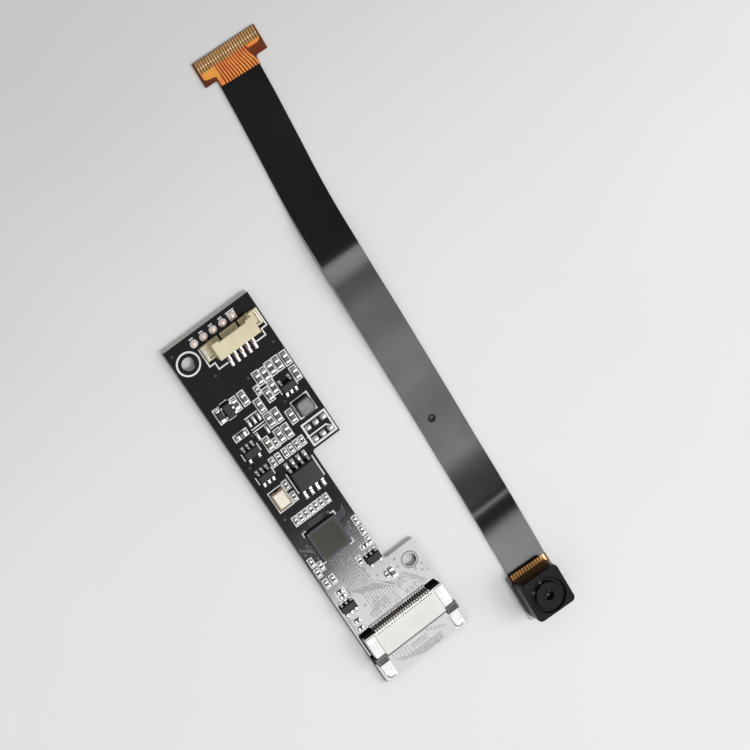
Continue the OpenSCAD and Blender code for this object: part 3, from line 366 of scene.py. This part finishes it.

# %% Faces towards the header end, for painted light on the board's end wall and painted shade on the socket's rear wall
painted_light_end_faces, given, put = effect_group("header_end_faces", [], [("Mask", FLOAT)])
links = painted_light_end_faces.links
place = painted_light_end_faces.nodes.new("ShaderNodeTexCoord")
apart = painted_light_end_faces.nodes.new("ShaderNodeSeparateXYZ")
spread = painted_light_end_faces.nodes.new("ShaderNodeMapRange")
# The mask starts on faces within 53 degrees of that direction and is full within 26 degrees
spread.inputs["From Min"].default_value = 0.6
spread.inputs["From Max"].default_value = 0.9
links.new(place.outputs["Normal"], apart.inputs["Vector"])
links.new(apart.outputs["Y"], spread.inputs["Value"])
links.new(spread.outputs["Result"], put.inputs["Mask"])
print("header_end_faces has", len(painted_light_end_faces.nodes), "nodes")

# %% Spot: a round mask around one place
spot_group, given, put = effect_group(
    "spot",
    [("Middle X", FLOAT, 0.0), ("Middle Y", FLOAT, 0.0), ("Radius", FLOAT, 0.002)],
    [("Mask", FLOAT)],
)
links = spot_group.links
place = spot_group.nodes.new("ShaderNodeTexCoord")
apart = spot_group.nodes.new("ShaderNodeSeparateXYZ")
squares = []
for axis in ("X", "Y"):
    away = spot_group.nodes.new("ShaderNodeMath")
    away.operation = "SUBTRACT"
    square = spot_group.nodes.new("ShaderNodeMath")
    square.operation = "MULTIPLY"
    links.new(apart.outputs[axis], away.inputs[0])
    links.new(given.outputs["Middle " + axis], away.inputs[1])
    links.new(away.outputs[0], square.inputs[0])
    links.new(away.outputs[0], square.inputs[1])
    squares.append(square)
links.new(place.outputs["Object"], apart.inputs["Vector"])
total = spot_group.nodes.new("ShaderNodeMath")
total.operation = "ADD"
distance = spot_group.nodes.new("ShaderNodeMath")
distance.operation = "SQRT"
inside = spot_group.nodes.new("ShaderNodeMath")
inside.operation = "LESS_THAN"
links.new(squares[0].outputs[0], total.inputs[0])
links.new(squares[1].outputs[0], total.inputs[1])
links.new(total.outputs[0], distance.inputs[0])
links.new(distance.outputs[0], inside.inputs[0])
links.new(given.outputs["Radius"], inside.inputs[1])
links.new(inside.outputs[0], put.inputs["Mask"])
print("spot has", len(spot_group.nodes), "nodes")

# %% Slope: a mask that rises along the floor, for painted lamp light on the paper
painted_light_slope, given, put = effect_group(
    "slope",
    [("Dark End", FLOAT, 0.08), ("Light End", FLOAT, -0.03)],
    [("Mask", FLOAT)],
)
links = painted_light_slope.links
place = painted_light_slope.nodes.new("ShaderNodeTexCoord")
apart = painted_light_slope.nodes.new("ShaderNodeSeparateXYZ")
spread = painted_light_slope.nodes.new("ShaderNodeMapRange")
spread.interpolation_type = "SMOOTHSTEP"
links.new(place.outputs["Object"], apart.inputs["Vector"])
links.new(apart.outputs["Y"], spread.inputs["Value"])
links.new(given.outputs["Dark End"], spread.inputs["From Min"])
links.new(given.outputs["Light End"], spread.inputs["From Max"])
links.new(spread.outputs["Result"], put.inputs["Mask"])
print("slope has", len(painted_light_slope.nodes), "nodes")


# %% [markdown]
# ## Waves of the flex
#
# A thin flexible circuit never lies quite flat, and on a glossy film even a slope of one in fifty
# moves a reflection by a centimetre. The solid model carries the large bends. The faint waves on
# top of them are relief in the finish: a few places along the flex with their heights in
# millimetres, given in round numbers, joined smoothly by a curve node.

# %% Waves along the flex
# Place along the flex and height there, both in millimetres
wave_heights = (
    (-66, 0.5), (-62, 0.5), (-53, 0.1), (-47, 0.0), (-38, 0.15), (-29, 0.15),
    (-22, 0.2), (-10, 0.15), (-5, 0.15), (2, 0.4), (5, 0.4),
)
tallest = max(height for along, height in wave_heights)
first_y, last_y = wave_heights[0][0], wave_heights[-1][0]
waves_group, given, put = effect_group("film_waves", [], [("Height", FLOAT)])
links = waves_group.links
place = waves_group.nodes.new("ShaderNodeTexCoord")
apart = waves_group.nodes.new("ShaderNodeSeparateXYZ")
spread = waves_group.nodes.new("ShaderNodeMapRange")
spread.inputs["From Min"].default_value = first_y * MM
spread.inputs["From Max"].default_value = last_y * MM
profile = waves_group.nodes.new("ShaderNodeFloatCurve")
points = profile.mapping.curves[0].points
for along, height in wave_heights:
    where = ((along - first_y) / (last_y - first_y), height / tallest)
    if along == first_y:
        points[0].location = where
    elif along == last_y:
        points[-1].location = where
    else:
        points.new(*where)
profile.mapping.update()
links.new(place.outputs["Object"], apart.inputs["Vector"])
links.new(apart.outputs["Y"], spread.inputs["Value"])
links.new(spread.outputs["Result"], profile.inputs["Value"])
links.new(profile.outputs["Value"], put.inputs["Height"])
print("the waves rise by up to", tallest, "mm")


# %% [markdown]
# ## One recipe for a finish
#
# Every finish is a Principled BSDF whose colour comes from the mottle, whose roughness comes from
# the haze and whose relief comes from the grain. The recipe takes the values in which one finish
# differs from another. Numbers that are the same all over the piece, such as how metallic it is,
# are set on the shader itself.

# %% The recipe
def finish(name, tone, other, patches=900.0, sharpness=0.3, smooth=0.35, rough=0.5, haze_size=150.0,
           relief=0.01, coarse=3000.0, fine=12000.0, **shader_numbers):
    """A material from the three effects; relief is the height of its grain in millimetres."""
    material = bpy.data.materials.new(name)
    material.use_nodes = True
    tree = material.node_tree
    shader = tree.nodes["Principled BSDF"]
    colour = tree.nodes.new("ShaderNodeGroup")
    colour.node_tree = mottle
    colour.inputs["Tone"].default_value = tone
    colour.inputs["Other Tone"].default_value = other
    colour.inputs["Patches"].default_value = patches
    colour.inputs["Sharpness"].default_value = sharpness
    gloss = tree.nodes.new("ShaderNodeGroup")
    gloss.node_tree = haze
    gloss.inputs["Smooth"].default_value = smooth
    gloss.inputs["Rough"].default_value = rough
    gloss.inputs["Patches"].default_value = haze_size
    height = tree.nodes.new("ShaderNodeGroup")
    height.node_tree = grain
    height.inputs["Coarse"].default_value = coarse
    height.inputs["Fine"].default_value = fine
    bump = tree.nodes.new("ShaderNodeBump")
    bump.inputs["Distance"].default_value = relief * MM
    tree.links.new(colour.outputs["Color"], shader.inputs["Base Color"])
    tree.links.new(gloss.outputs["Roughness"], shader.inputs["Roughness"])
    tree.links.new(height.outputs["Height"], bump.inputs["Height"])
    tree.links.new(bump.outputs["Normal"], shader.inputs["Normal"])
    for socket, value in shader_numbers.items():
        shader.inputs[socket.replace("_", " ")].default_value = value
    return material


def blend_in(material, mask_node, tone, roughness=None, mirror=None):
    """Mixes a second tone, roughness and mirror strength into a finish where a mask is one."""
    tree = material.node_tree
    shader = tree.nodes["Principled BSDF"]
    sockets = [("Base Color", "RGBA", tone)]
    if roughness is not None:
        sockets.append(("Roughness", "FLOAT", roughness))
    if mirror is not None:
        sockets.append(("Specular IOR Level", "FLOAT", mirror))
    for socket, kind, value in sockets:
        mix = tree.nodes.new("ShaderNodeMix")
        mix.data_type = kind
        factor, own, second = [socket_in for socket_in in mix.inputs if socket_in.enabled]
        tree.links.new(mask_node.outputs["Mask"], factor)
        if shader.inputs[socket].is_linked:
            tree.links.new(shader.inputs[socket].links[0].from_socket, own)
        else:
            own.default_value = shader.inputs[socket].default_value
        second.default_value = value
        after = next(socket_out for socket_out in mix.outputs if socket_out.enabled)
        tree.links.new(after, shader.inputs[socket])


def tone_faces(material, group, tone, roughness=None, mirror=None):
    """Another tone on the faces that a mask without inputs picks, such as the walls."""
    faces = material.node_tree.nodes.new("ShaderNodeGroup")
    faces.node_tree = group
    blend_in(material, faces, tone, roughness, mirror)


def add_waves(material):
    """Lays the waves of the flex under the grain of a finish."""
    tree = material.node_tree
    waves = tree.nodes.new("ShaderNodeGroup")
    waves.node_tree = waves_group
    bump = tree.nodes.new("ShaderNodeBump")
    bump.inputs["Distance"].default_value = tallest * MM
    grain_bump = tree.nodes["Bump"]
    tree.links.new(waves.outputs["Height"], bump.inputs["Height"])
    tree.links.new(bump.outputs["Normal"], grain_bump.inputs["Normal"])


def tone_spot(material, middle, radius, tone, roughness=None):
    """Another tone around one place of a finish; middle in metres, radius in millimetres."""
    spot = material.node_tree.nodes.new("ShaderNodeGroup")
    spot.node_tree = spot_group
    spot.inputs["Middle X"].default_value = middle[0]
    spot.inputs["Middle Y"].default_value = middle[1]
    spot.inputs["Radius"].default_value = radius * MM
    blend_in(material, spot, tone, roughness)


def tone_rim(material, name, width, tone, roughness=None):
    """Another tone along the outline of the square part that the named node makes; width in millimetres."""
    corners = [v.co for v in frame["nodes"][name].data.vertices]
    low = [min(c[k] for c in corners) for k in (0, 1)]
    high = [max(c[k] for c in corners) for k in (0, 1)]
    rim = material.node_tree.nodes.new("ShaderNodeGroup")
    rim.node_tree = rim_group
    rim.inputs["Middle X"].default_value = (low[0] + high[0]) / 2
    rim.inputs["Middle Y"].default_value = (low[1] + high[1]) / 2
    rim.inputs["Half Size"].default_value = (high[0] - low[0]) / 2
    rim.inputs["Width"].default_value = width * MM
    blend_in(material, rim, tone, roughness)


def dress(material, *names):
    """Gives the material to nodes of the solid model."""
    for name in names:
        mesh = frame["nodes"][name].data
        mesh.materials.clear()
        mesh.materials.append(material)


floor_paper = finish("floor_paper", grey(195, 1), grey(192, 1), patches=30, smooth=0.6, rough=0.8,
                     haze_size=20, relief=0.02, coarse=1500, fine=6000)
# Painted light: the paper is made lighter towards the lamps, as a pool of lamp light would make it.
painted_floor_light = floor_paper.node_tree.nodes.new("ShaderNodeGroup")
painted_floor_light.node_tree = painted_light_slope
blend_in(floor_paper, painted_floor_light, grey(220))
floor_mesh.materials.append(floor_paper)
print("first finish:", floor_paper.name)


# %% [markdown]
# ## Board, tracks and print
#
# The board is black because of its solder mask, a thin glossy lacquer over laminate and copper.
# Where copper lies under the lacquer, the colour is lighter. The lacquer is kept nearly smooth, so
# that it mirrors the small lamp at the socket's end of the board and only the room at the other.
# The cut edges show laminate, which the walls mask brings in. The wall at the header end is made
# paler by the mask for end faces, as painted light.

# %% Finishes of the board
mask_black = finish("mask_black", tint(10, 10, 11), tint(14, 14, 19), patches=120, smooth=0.05, rough=0.085,
                    haze_size=90, relief=0.0004, coarse=900, fine=3000, Specular_IOR_Level=0.34)
tone_faces(mask_black, walls_group, tint(60, 58, 54), 0.6)
# Painted light: the cut wall that faces the header end is made pale.
tone_faces(mask_black, painted_light_end_faces, tint(196, 194, 186), 0.6)
mask_on_copper = finish("mask_on_copper", tint(60, 60, 68), tint(76, 76, 86), patches=300, smooth=0.09,
                        rough=0.11, relief=0.0, Specular_IOR_Level=0.24)
legend_ink = finish("legend_ink", grey(232), grey(205), patches=4000, smooth=0.5, rough=0.7, relief=0.006)
dress(mask_black, "circuit_board")
dress(mask_on_copper, "copper_tracks")
dress(legend_ink, "legend_print")
print("board finishes:", mask_black.name, mask_on_copper.name, legend_ink.name)


# %% [markdown]
# ## Tinned and gilt metal
#
# Solder and tin are grey metals, some bright and some dull. A fully metallic shader shows only what
# it mirrors, which here is the even grey of the room. So each of these keeps a share of plain
# colour. The contacts of the flex and of its socket are plated, and each has a tone of its own.

# %% Finishes of solder, tin and plating
board_low, board_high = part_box("circuit_board")
hole_from_side, hole_from_end = 2.5 * MM, 15.8 * MM
socket_end_hole = (board_high.x - hole_from_side, board_low.y + hole_from_end)
tin = finish("tin", grey(212), grey(170, 3), patches=2500, smooth=0.16, rough=0.3, relief=0.003, coarse=3000,
             Metallic=0.85)
land_tin = finish("land_tin", grey(205), grey(170, 3), patches=2500, smooth=0.42, rough=0.55, relief=0.003,
                  coarse=3000, Metallic=0.7)
tone_spot(land_tin, socket_end_hole, 2.2, grey(140), 0.75)
clip_tin = finish("clip_tin", grey(226), grey(206), patches=1200, smooth=0.5, rough=0.65, relief=0.004,
                  Metallic=0.3)
row_solder = finish("row_solder", tint(250, 236, 228), tint(236, 218, 208), patches=2000, smooth=0.2,
                    rough=0.35, relief=0.01, coarse=1500, Metallic=0.35)
riser_tin = finish("riser_tin", tint(250, 247, 242), tint(236, 232, 226), patches=2500, relief=0.0)
gilt = finish("gilt", tint(168, 134, 84), tint(140, 108, 62), patches=1500, smooth=0.25, rough=0.4,
              Metallic=0.6)
bright_gilt = finish("bright_gilt", tint(240, 226, 190), tint(220, 200, 160), patches=1500, smooth=0.3,
                     rough=0.5)
contact_plating = finish("contact_plating", grey(206, 6), grey(170, 4), patches=2500, smooth=0.2, rough=0.35,
                         Metallic=0.7)
dress(land_tin, "solder_lands")
dress(row_solder, "through_hole_solder", "header_contacts")
dress(clip_tin, "socket_hold_downs")
dress(tin, "header_solder_tabs", "processor_terminals", "flash_memory_leads", "regulator_leads",
      "inductor_terminals", "clamp_diode_terminals", "capacitor_terminals", "resistor_terminals")
dress(gilt, "tail_contacts")
dress(contact_plating, "socket_contacts")
print("tin on the small leads:", tin.name)


# %% [markdown]
# ## Connectors and packages
#
# Connectors are moulded from cream or ivory plastic, and chips from a dull black resin with a fine
# grain. The processor is smoother and bluish along its rim, and the ferrite of the inductor is dark
# along its own, so both take the rim mask. A ceramic capacitor is a warm grey-brown. The crystal
# has a ceramic case and a pale metal lid.

# %% Finishes of connectors and packages
header_cream = finish("header_cream", tint(210, 199, 166), tint(200, 188, 154), patches=400, relief=0.004)
socket_ivory = finish("socket_ivory", tint(214, 212, 208), tint(206, 204, 199), patches=400, relief=0.004)
# Painted shade: the socket's rear wall, which faces the header end, is made nearly black.
tone_faces(socket_ivory, painted_light_end_faces, tint(38, 36, 34))
slider_grey = finish("slider_grey", grey(62), grey(50), patches=700, relief=0.006)
package_resin = finish("package_resin", grey(48), grey(39), patches=2500, smooth=0.45, rough=0.6, relief=0.01,
                       coarse=6000, Specular_IOR_Level=0.25)
processor_resin = finish("processor_resin", tint(52, 48, 34), tint(45, 43, 36), patches=260, sharpness=0.1,
                         smooth=0.4, rough=0.5, relief=0.006, coarse=6000, Specular_IOR_Level=0.2)
tone_rim(processor_resin, "image_processor", 0.9, tint(34, 35, 48), 0.3)
ferrite = finish("ferrite", grey(132), grey(112), patches=1500, relief=0.012, Specular_IOR_Level=0.3)
tone_rim(ferrite, "power_inductor", 0.55, grey(18))
crystal_cream = finish("crystal_cream", tint(150, 132, 98), tint(134, 116, 84), patches=700)
crystal_gilt = finish("crystal_gilt", tint(208, 203, 190), tint(196, 190, 172), patches=900, Metallic=0.15)
capacitor_tan = finish("capacitor_tan", tint(92, 86, 76), tint(64, 60, 55), patches=1600)
resistor_glaze = finish("resistor_glaze", grey(36), grey(26), patches=1200)
dress(header_cream, "header_housing")
dress(socket_ivory, "socket_housing")
dress(slider_grey, "lock_slider")
dress(package_resin, "flash_memory", "regulators", "clamp_diode")
dress(processor_resin, "image_processor")
dress(ferrite, "power_inductor")
dress(crystal_cream, "crystal_case")
dress(crystal_gilt, "crystal_lid")
dress(capacitor_tan, "chip_capacitors", "head_capacitors")
dress(resistor_glaze, "chip_resistors")
print("resin of the chips:", package_resin.name)


# %% [markdown]
# ## Films of the flex
#
# The flex is copper on a sheet of amber film, with a black cover film over most of its length. The
# copper is orange where it shows at the tail and in the window by the head. At the tail, one patch
# is a yellower pour. In the window the copper is painted lighter, as painted light against the
# head's shade. The cover is thin and glossy: it is nearly black by itself, and takes its greys
# from what it mirrors, so the waves are laid under its grain.

# %% Finishes of the flex
amber_film = finish("amber_film", tint(112, 46, 12), tint(78, 30, 8), patches=500, smooth=0.3, rough=0.45,
                    relief=0.002, Specular_IOR_Level=0.12)
tone_faces(amber_film, walls_group, tint(34, 20, 12))
flex_copper = finish("flex_copper", tint(222, 136, 44), tint(200, 92, 30), patches=260, sharpness=0.6,
                     smooth=0.2, rough=0.35, relief=0.02, coarse=1500, Metallic=0.3)
fingers_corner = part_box("tail_contacts")[0]
ground_copper = (fingers_corner.x + 1.6 * MM, fingers_corner.y - 0.6 * MM)
tone_spot(flex_copper, ground_copper, 1.5, tint(206, 136, 42), 0.3)
# Painted light: the copper in the window by the head is made much lighter, against the head's shade.
holder_middle = (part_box("lens_holder")[0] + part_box("lens_holder")[1]) / 2
tone_spot(flex_copper, holder_middle, 9.0, tint(255, 190, 118), 0.3)
black_film = finish("black_film", tint(24, 23, 22), tint(18, 17, 17), patches=150, smooth=0.11, rough=0.16,
                    haze_size=60, relief=0.0015, coarse=500, fine=4000, Specular_IOR_Level=0.12)
add_waves(black_film)
stiffener_brown = finish("stiffener_brown", tint(120, 90, 50), tint(100, 74, 40), patches=500)
dress(amber_film, "flex_film")
dress(flex_copper, "flex_tracks")
dress(black_film, "flex_upper_cover", "flex_lower_cover")
dress(stiffener_brown, "tail_stiffener")
print("cover film:", black_film.name)


# %% [markdown]
# ## Camera head
#
# The lens holder and the barrel are moulded in black with a fine, dull grain. The holder's walls
# shine a little more than its top, which the walls mask brings in. The adhesive is clear and looks
# nearly black on black. The lenses look dark because hardly any light comes back from behind them,
# so they get a dark gloss and no real glass.

# %% Finishes of the head
plate_steel = finish("plate_steel", grey(150), grey(126), patches=900, smooth=0.5, rough=0.65, Metallic=0.6)
holder_black = finish("holder_black", grey(12), grey(9), patches=900, smooth=0.5, rough=0.6, relief=0.008,
                      coarse=5000, Specular_IOR_Level=0.12)
tone_faces(holder_black, walls_group, tint(14, 11, 10), 0.32, 0.2)
barrel_black = finish("barrel_black", grey(18), grey(14), patches=1200, smooth=0.5, rough=0.6, relief=0.006,
                      Specular_IOR_Level=0.12)
clear_glue = finish("clear_glue", grey(26), grey(18), patches=2500, smooth=0.35, rough=0.5,
                    Specular_IOR_Level=0.2)
dark_glass = finish("dark_glass", tint(26, 28, 36), tint(34, 32, 40), patches=900, smooth=0.03, rough=0.06,
                    relief=0.0)
dress(plate_steel, "head_stiffener")
dress(holder_black, "lens_holder")
dress(barrel_black, "lens_barrel", "retaining_ring", "lens_spacer")
dress(clear_glue, "locking_adhesive")
dress(dark_glass, "front_lens", "middle_lens", "rear_lens", "infrared_filter", "image_sensor")
print(len(bpy.data.materials), "materials in the scene")


# %% [markdown]
# ## Rounded edges
#
# A solid model ends in perfectly sharp edges, and nothing moulded, stamped or plated does. A thin
# rounding catches a line of light, which is how the eye reads an edge at all. The rounding could be
# a trick of the shader, but then outlines stay sharp. Here each piece gets a copy of its mesh with
# its triangles merged back into flat faces and a bevel on what is left of the edges. The copy
# stands for the solid node and rides on the same body.

# %% Copies with rounded edges
same_place = 0.0004 * MM
still_flat = math.radians(1.5)


def softened(name, radius, material, segments=2, smooth_angle=40):
    """A copy of a node's mesh, rounded by a radius in millimetres; radius 0 only smooths it."""
    source = frame["nodes"][name]
    work = bmesh.new()
    work.from_mesh(source.data)
    bmesh.ops.remove_doubles(work, verts=work.verts, dist=same_place)
    if radius:
        bmesh.ops.dissolve_limit(work, angle_limit=still_flat, verts=work.verts, edges=work.edges)
    work.verts.index_update()
    mesh = bpy.data.meshes.new(name + "_soft")
    points = [v.co.copy() for v in work.verts]
    faces = [[v.index for v in f.verts] for f in work.faces]
    work.free()
    mesh.from_pydata(points, [], faces)
    mesh.polygons.foreach_set("use_smooth", [True] * len(mesh.polygons))
    mesh.set_sharp_from_angle(angle=math.radians(smooth_angle))
    mesh.materials.append(material)
    piece = bpy.data.objects.new(name + "_soft", mesh)
    bpy.context.scene.collection.objects.link(piece)
    if radius:
        rounding = piece.modifiers.new("rounding", "BEVEL")
        rounding.width = radius * MM
        rounding.segments = segments
        rounding.limit_method = "ANGLE"
        rounding.angle_limit = math.radians(smooth_angle)
        rounding.harden_normals = True
        rounding.use_clamp_overlap = True
    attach(piece, source["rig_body"])
    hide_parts(name)
    return piece


# Radius in millimetres and finish
roundings = {
    "header_housing": (0.05, header_cream),
    "socket_housing": (0.03, socket_ivory),
    "socket_hold_downs": (0.03, clip_tin),
    "lock_slider": (0.05, slider_grey),
    "image_processor": (0.04, processor_resin),
    "flash_memory": (0.05, package_resin),
    "regulators": (0.04, package_resin),
    "clamp_diode": (0.04, package_resin),
    "power_inductor": (0.06, ferrite),
    "crystal_case": (0.05, crystal_cream),
    "crystal_lid": (0.04, crystal_gilt),
    "flash_memory_leads": (0.04, tin),
    "regulator_leads": (0.03, tin),
    "capacitor_terminals": (0.06, tin),
    "resistor_terminals": (0.04, tin),
    "chip_capacitors": (0.03, capacitor_tan),
    "header_contacts": (0.03, row_solder),
    "lens_holder": (0.1, holder_black),
}
for name, (radius, material) in roundings.items():
    softened(name, radius, material)
smooth_films = {"flex_upper_cover": black_film, "flex_lower_cover": black_film, "flex_film": amber_film}
for name, material in smooth_films.items():
    softened(name, 0, material, smooth_angle=30)
print(len(roundings), "pieces have rounded edges, and", len(smooth_films), "films are smooth")


# %% [markdown]
# ## Solder
#
# Every land that carries a lead holds a small cushion of solder, pulled round by surface tension.
# It is what makes a real board sparkle. The lands are separate islands of one solid node, so the
# cushions can be placed by measuring each island's box, with no list of places. A cushion is a
# small grid whose height falls off towards its rim. Its height follows the land's narrow side.

# %% Boxes of the separate solids of a node
def island_boxes(name):
    """Lowest and highest corner of every separate solid of a node."""
    work = bmesh.new()
    work.from_mesh(frame["nodes"][name].data)
    bmesh.ops.remove_doubles(work, verts=work.verts, dist=same_place)
    left = set(work.verts)
    boxes = []
    while left:
        group = [left.pop()]
        for vert in group:
            for edge in vert.link_edges:
                other = edge.other_vert(vert)
                if other in left:
                    left.remove(other)
                    group.append(other)
        low = Vector([min(v.co[k] for v in group) for k in range(3)])
        high = Vector([max(v.co[k] for v in group) for k in range(3)])
        boxes.append((low, high))
    work.free()
    return sorted(boxes, key=lambda box: tuple(box[0]))


land_boxes = island_boxes("solder_lands")
plug_centres = [(low + high) / 2 for low, high in island_boxes("through_hole_solder")]
print(len(land_boxes), "lands and", len(plug_centres), "filled holes")


# %% Helper for added pieces
def added_piece(name, points, faces, material, smooth=False):
    """A new object from points and faces, dressed and put in the scene."""
    mesh = bpy.data.meshes.new(name)
    mesh.from_pydata(points, [], faces)
    mesh.polygons.foreach_set("use_smooth", [smooth] * len(faces))
    mesh.materials.append(material)
    piece = bpy.data.objects.new(name, mesh)
    bpy.context.scene.collection.objects.link(piece)
    print(name, "has", len(faces), "faces")
    return piece


# %% Solder cushions on the lands
# Grid lines across a cushion, closer together where it curves down to its rim
steps = (-1.0, -0.93, -0.7, -0.3, 0.3, 0.7, 0.93, 1.0)
faces_per_cushion = (len(steps) - 1) ** 2
fullness = 2.6
dome = 0.6
corner_trim = 0.12


def cushion(points, faces, low, high, height):
    """Adds one cushion over a land's box to the lists of points and faces."""
    middle = (low + high) / 2
    half_x, half_y = (high.x - low.x) / 2, (high.y - low.y) / 2
    first = len(points)
    for v in steps:
        for u in steps:
            swell = (1 - abs(u) ** fullness) * (1 - abs(v) ** fullness)
            corner = 1 - corner_trim * u * u * v * v
            points.append((middle.x + u * half_x * corner, middle.y + v * half_y * corner,
                           high.z + height * swell ** dome))
    across = len(steps)
    for row in range(across - 1):
        for column in range(across - 1):
            a = first + row * across + column
            faces.append((a, a + 1, a + across + 1, a + across))


plug_reach = 0.5 * MM
widest_land = 2.5 * MM
height_per_width = 0.24
tallest_cushion = 0.15 * MM
equal_sides = 1.02
drop_height = 0.3 * MM
drop_spread = Vector((0.15, 0.15, 0)) * MM
cushion_points, cushion_faces = [], []
for low, high in land_boxes:
    wide, long = sorted((high.x - low.x, high.y - low.y))
    middle = (low + high) / 2
    beside_plug = any((middle - plug).xy.length < plug_reach for plug in plug_centres)
    if beside_plug or wide > widest_land:
        continue
    if long < equal_sides * wide:
        # A round or square land carries a fuller drop that spreads a little past it
        cushion(cushion_points, cushion_faces, low - drop_spread, high + drop_spread, drop_height)
    else:
        height = min(height_per_width * wide, tallest_cushion)
        cushion(cushion_points, cushion_faces, low, high, height)
solder_cushions = added_piece("solder_cushions", cushion_points, cushion_faces, tin, smooth=True)
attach(solder_cushions, "module")
print(len(cushion_faces) // faces_per_cushion, "cushions of solder")


# %% [markdown]
# ## Gaps between the bus tracks
#
# Near the socket the tracks run side by side as one broad band. The solid model has the band in
# one piece, so its gaps are laid on it as thin ribbons in the board's own black. Each ribbon runs
# between the two edges of the band, at its own share of the way across. A few short ones lie in
# front of the socket.

# %% Ribbons
def ribbons(paths, width, height):
    """Points and faces of flat ribbons of one width along paths in metres, all at one height."""
    points, faces = [], []
    for path in paths:
        first = len(points)
        for k, place in enumerate(path):
            back = path[max(0, k - 1)]
            ahead = path[min(len(path) - 1, k + 1)]
            way = Vector((ahead[0] - back[0], ahead[1] - back[1])).normalized()
            aside = Vector((-way.y, way.x)) * width / 2
            points.append((place[0] + aside.x, place[1] + aside.y, height))
            points.append((place[0] - aside.x, place[1] - aside.y, height))
        faces += [(first + 2 * k, first + 2 * k + 1, first + 2 * k + 3, first + 2 * k + 2)
                  for k in range(len(path) - 1)]
    return points, faces


socket_low, socket_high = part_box("socket_housing")
copper_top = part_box("copper_tracks")[1].z
socket_middle = (socket_low.x + socket_high.x) / 2
# The band's two edges, in millimetres from the middle of the socket and the end of the board
lower_edge = ((-2.95, 17.0), (-1.85, 17.0), (2.75, 12.9), (4.55, 12.9))
upper_edge = ((-2.95, 18.0), (-1.65, 18.0), (0.65, 15.2), (4.55, 13.4))
shares = (0.14, 0.32, 0.5, 0.68, 0.86)
band_paths = [
    [(socket_middle + (a[0] + share * (b[0] - a[0])) * MM,
      board_low.y + (a[1] + share * (b[1] - a[1])) * MM)
     for a, b in zip(lower_edge, upper_edge)]
    for share in shares
]
front_paths = [
    [(socket_middle + x * MM, board_low.y + y * MM) for x in (-1.85, 1.55)]
    for y in (2.28, 2.46, 2.64, 2.82)
]
gap_width = 0.09 * MM
gap_height = copper_top + 0.004 * MM
gap_points, gap_faces = ribbons(band_paths + front_paths, gap_width, gap_height)
bus_gaps = added_piece("bus_gaps", gap_points, gap_faces, mask_black)
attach(bus_gaps, "module")
print(len(band_paths), "gaps in the band and", len(front_paths), "in front of the socket")


# %% [markdown]
# ## Contact risers and plated dots
#
# The solid contacts come out at the foot of the socket's rear wall. Each also shows as an upright
# strip of metal on that wall, so a small sloping block of four faces is added for each way, on the
# outside of the wall. Every finger of the flex tail has a small plated dot near its end. The places
# of both are measured from the contacts' own boxes.

# %% Contact risers
riser_points, riser_faces = [], []
wall_y, roof_z = socket_high.y, socket_high.z
half_strip = 0.13 * MM
back_gap, foot_reach, top_reach = 0.01 * MM, 0.3 * MM, 0.05 * MM
into_contact, below_roof = 0.05 * MM, 0.06 * MM
front_left_right_top = ((2, 3, 7, 6), (0, 2, 6, 4), (3, 1, 5, 7), (4, 6, 7, 5))
ways = [box for box in island_boxes("socket_contacts") if box[1].y > wall_y]
for low, high in ways:
    middle_x = (low.x + high.x) / 2
    first = len(riser_points)
    for z, reach in ((high.z - into_contact, foot_reach), (roof_z - below_roof, top_reach)):
        riser_points += [(middle_x + side * half_strip, wall_y + away, z)
                         for away in (back_gap, reach) for side in (-1, 1)]
    riser_faces += [tuple(first + k for k in face) for face in front_left_right_top]
contact_risers = added_piece("contact_risers", riser_points, riser_faces, riser_tin)
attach(contact_risers, "module")
print(len(ways), "contact risers")

# %% Plated dots
dot_points, dot_faces = [], []
turns = 10
dot_from_end = 1.25 * MM
# Radius and rise of a dot's two rings in millimetres
dot_rings = ((0.13, 0.0), (0.08, 0.02))
for low, high in island_boxes("tail_contacts"):
    middle = (low + high) / 2
    centre = Vector((middle.x, high.y - dot_from_end, high.z))
    first = len(dot_points)
    for radius, rise in dot_rings:
        for k in range(turns):
            angle = 2 * math.pi * k / turns
            around = Vector((radius * math.cos(angle), radius * math.sin(angle), rise)) * MM
            dot_points.append(tuple(centre + around))
    upper = first + turns
    dot_faces += [(first + k, first + (k + 1) % turns, upper + (k + 1) % turns, upper + k)
                  for k in range(turns)]
    dot_faces.append(tuple(upper + k for k in range(turns)))
finger_dots = added_piece("finger_dots", dot_points, dot_faces, bright_gilt)
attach(finger_dots, "module")
print(len(dot_points) // (2 * turns), "plated dots")


# %% [markdown]
# ## The dimple in the cover film
#
# Part of the way along the flex, the black film has one small round dimple, such as a locating pin
# leaves. It is a shallow dish with a raised rim: a profile turned around a short axis.

# %% Dimple
dimple_at = Vector((29.65, -34.05, 0.44)) * MM
# Radius and height of the profile's points in millimetres
dish = ((0.0, 0.012), (0.3, 0.01), (0.44, 0.015), (0.52, 0.045), (0.58, 0.05), (0.66, 0.03), (0.74, 0.0))
turns = 40
dimple_points = [
    tuple(dimple_at + Vector((r * math.cos(a), r * math.sin(a), z)) * MM)
    for r, z in dish for a in (2 * math.pi * k / turns for k in range(turns))
]
dimple_faces = [
    (inner + k, inner + (k + 1) % turns, inner + turns + (k + 1) % turns, inner + turns + k)
    for inner in range(0, (len(dish) - 1) * turns, turns) for k in range(turns)
]
film_dimple = added_piece("film_dimple", dimple_points, dimple_faces, black_film, smooth=True)
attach(film_dimple, "module")
print("dimple is", 2 * dish[-1][0], "mm wide")
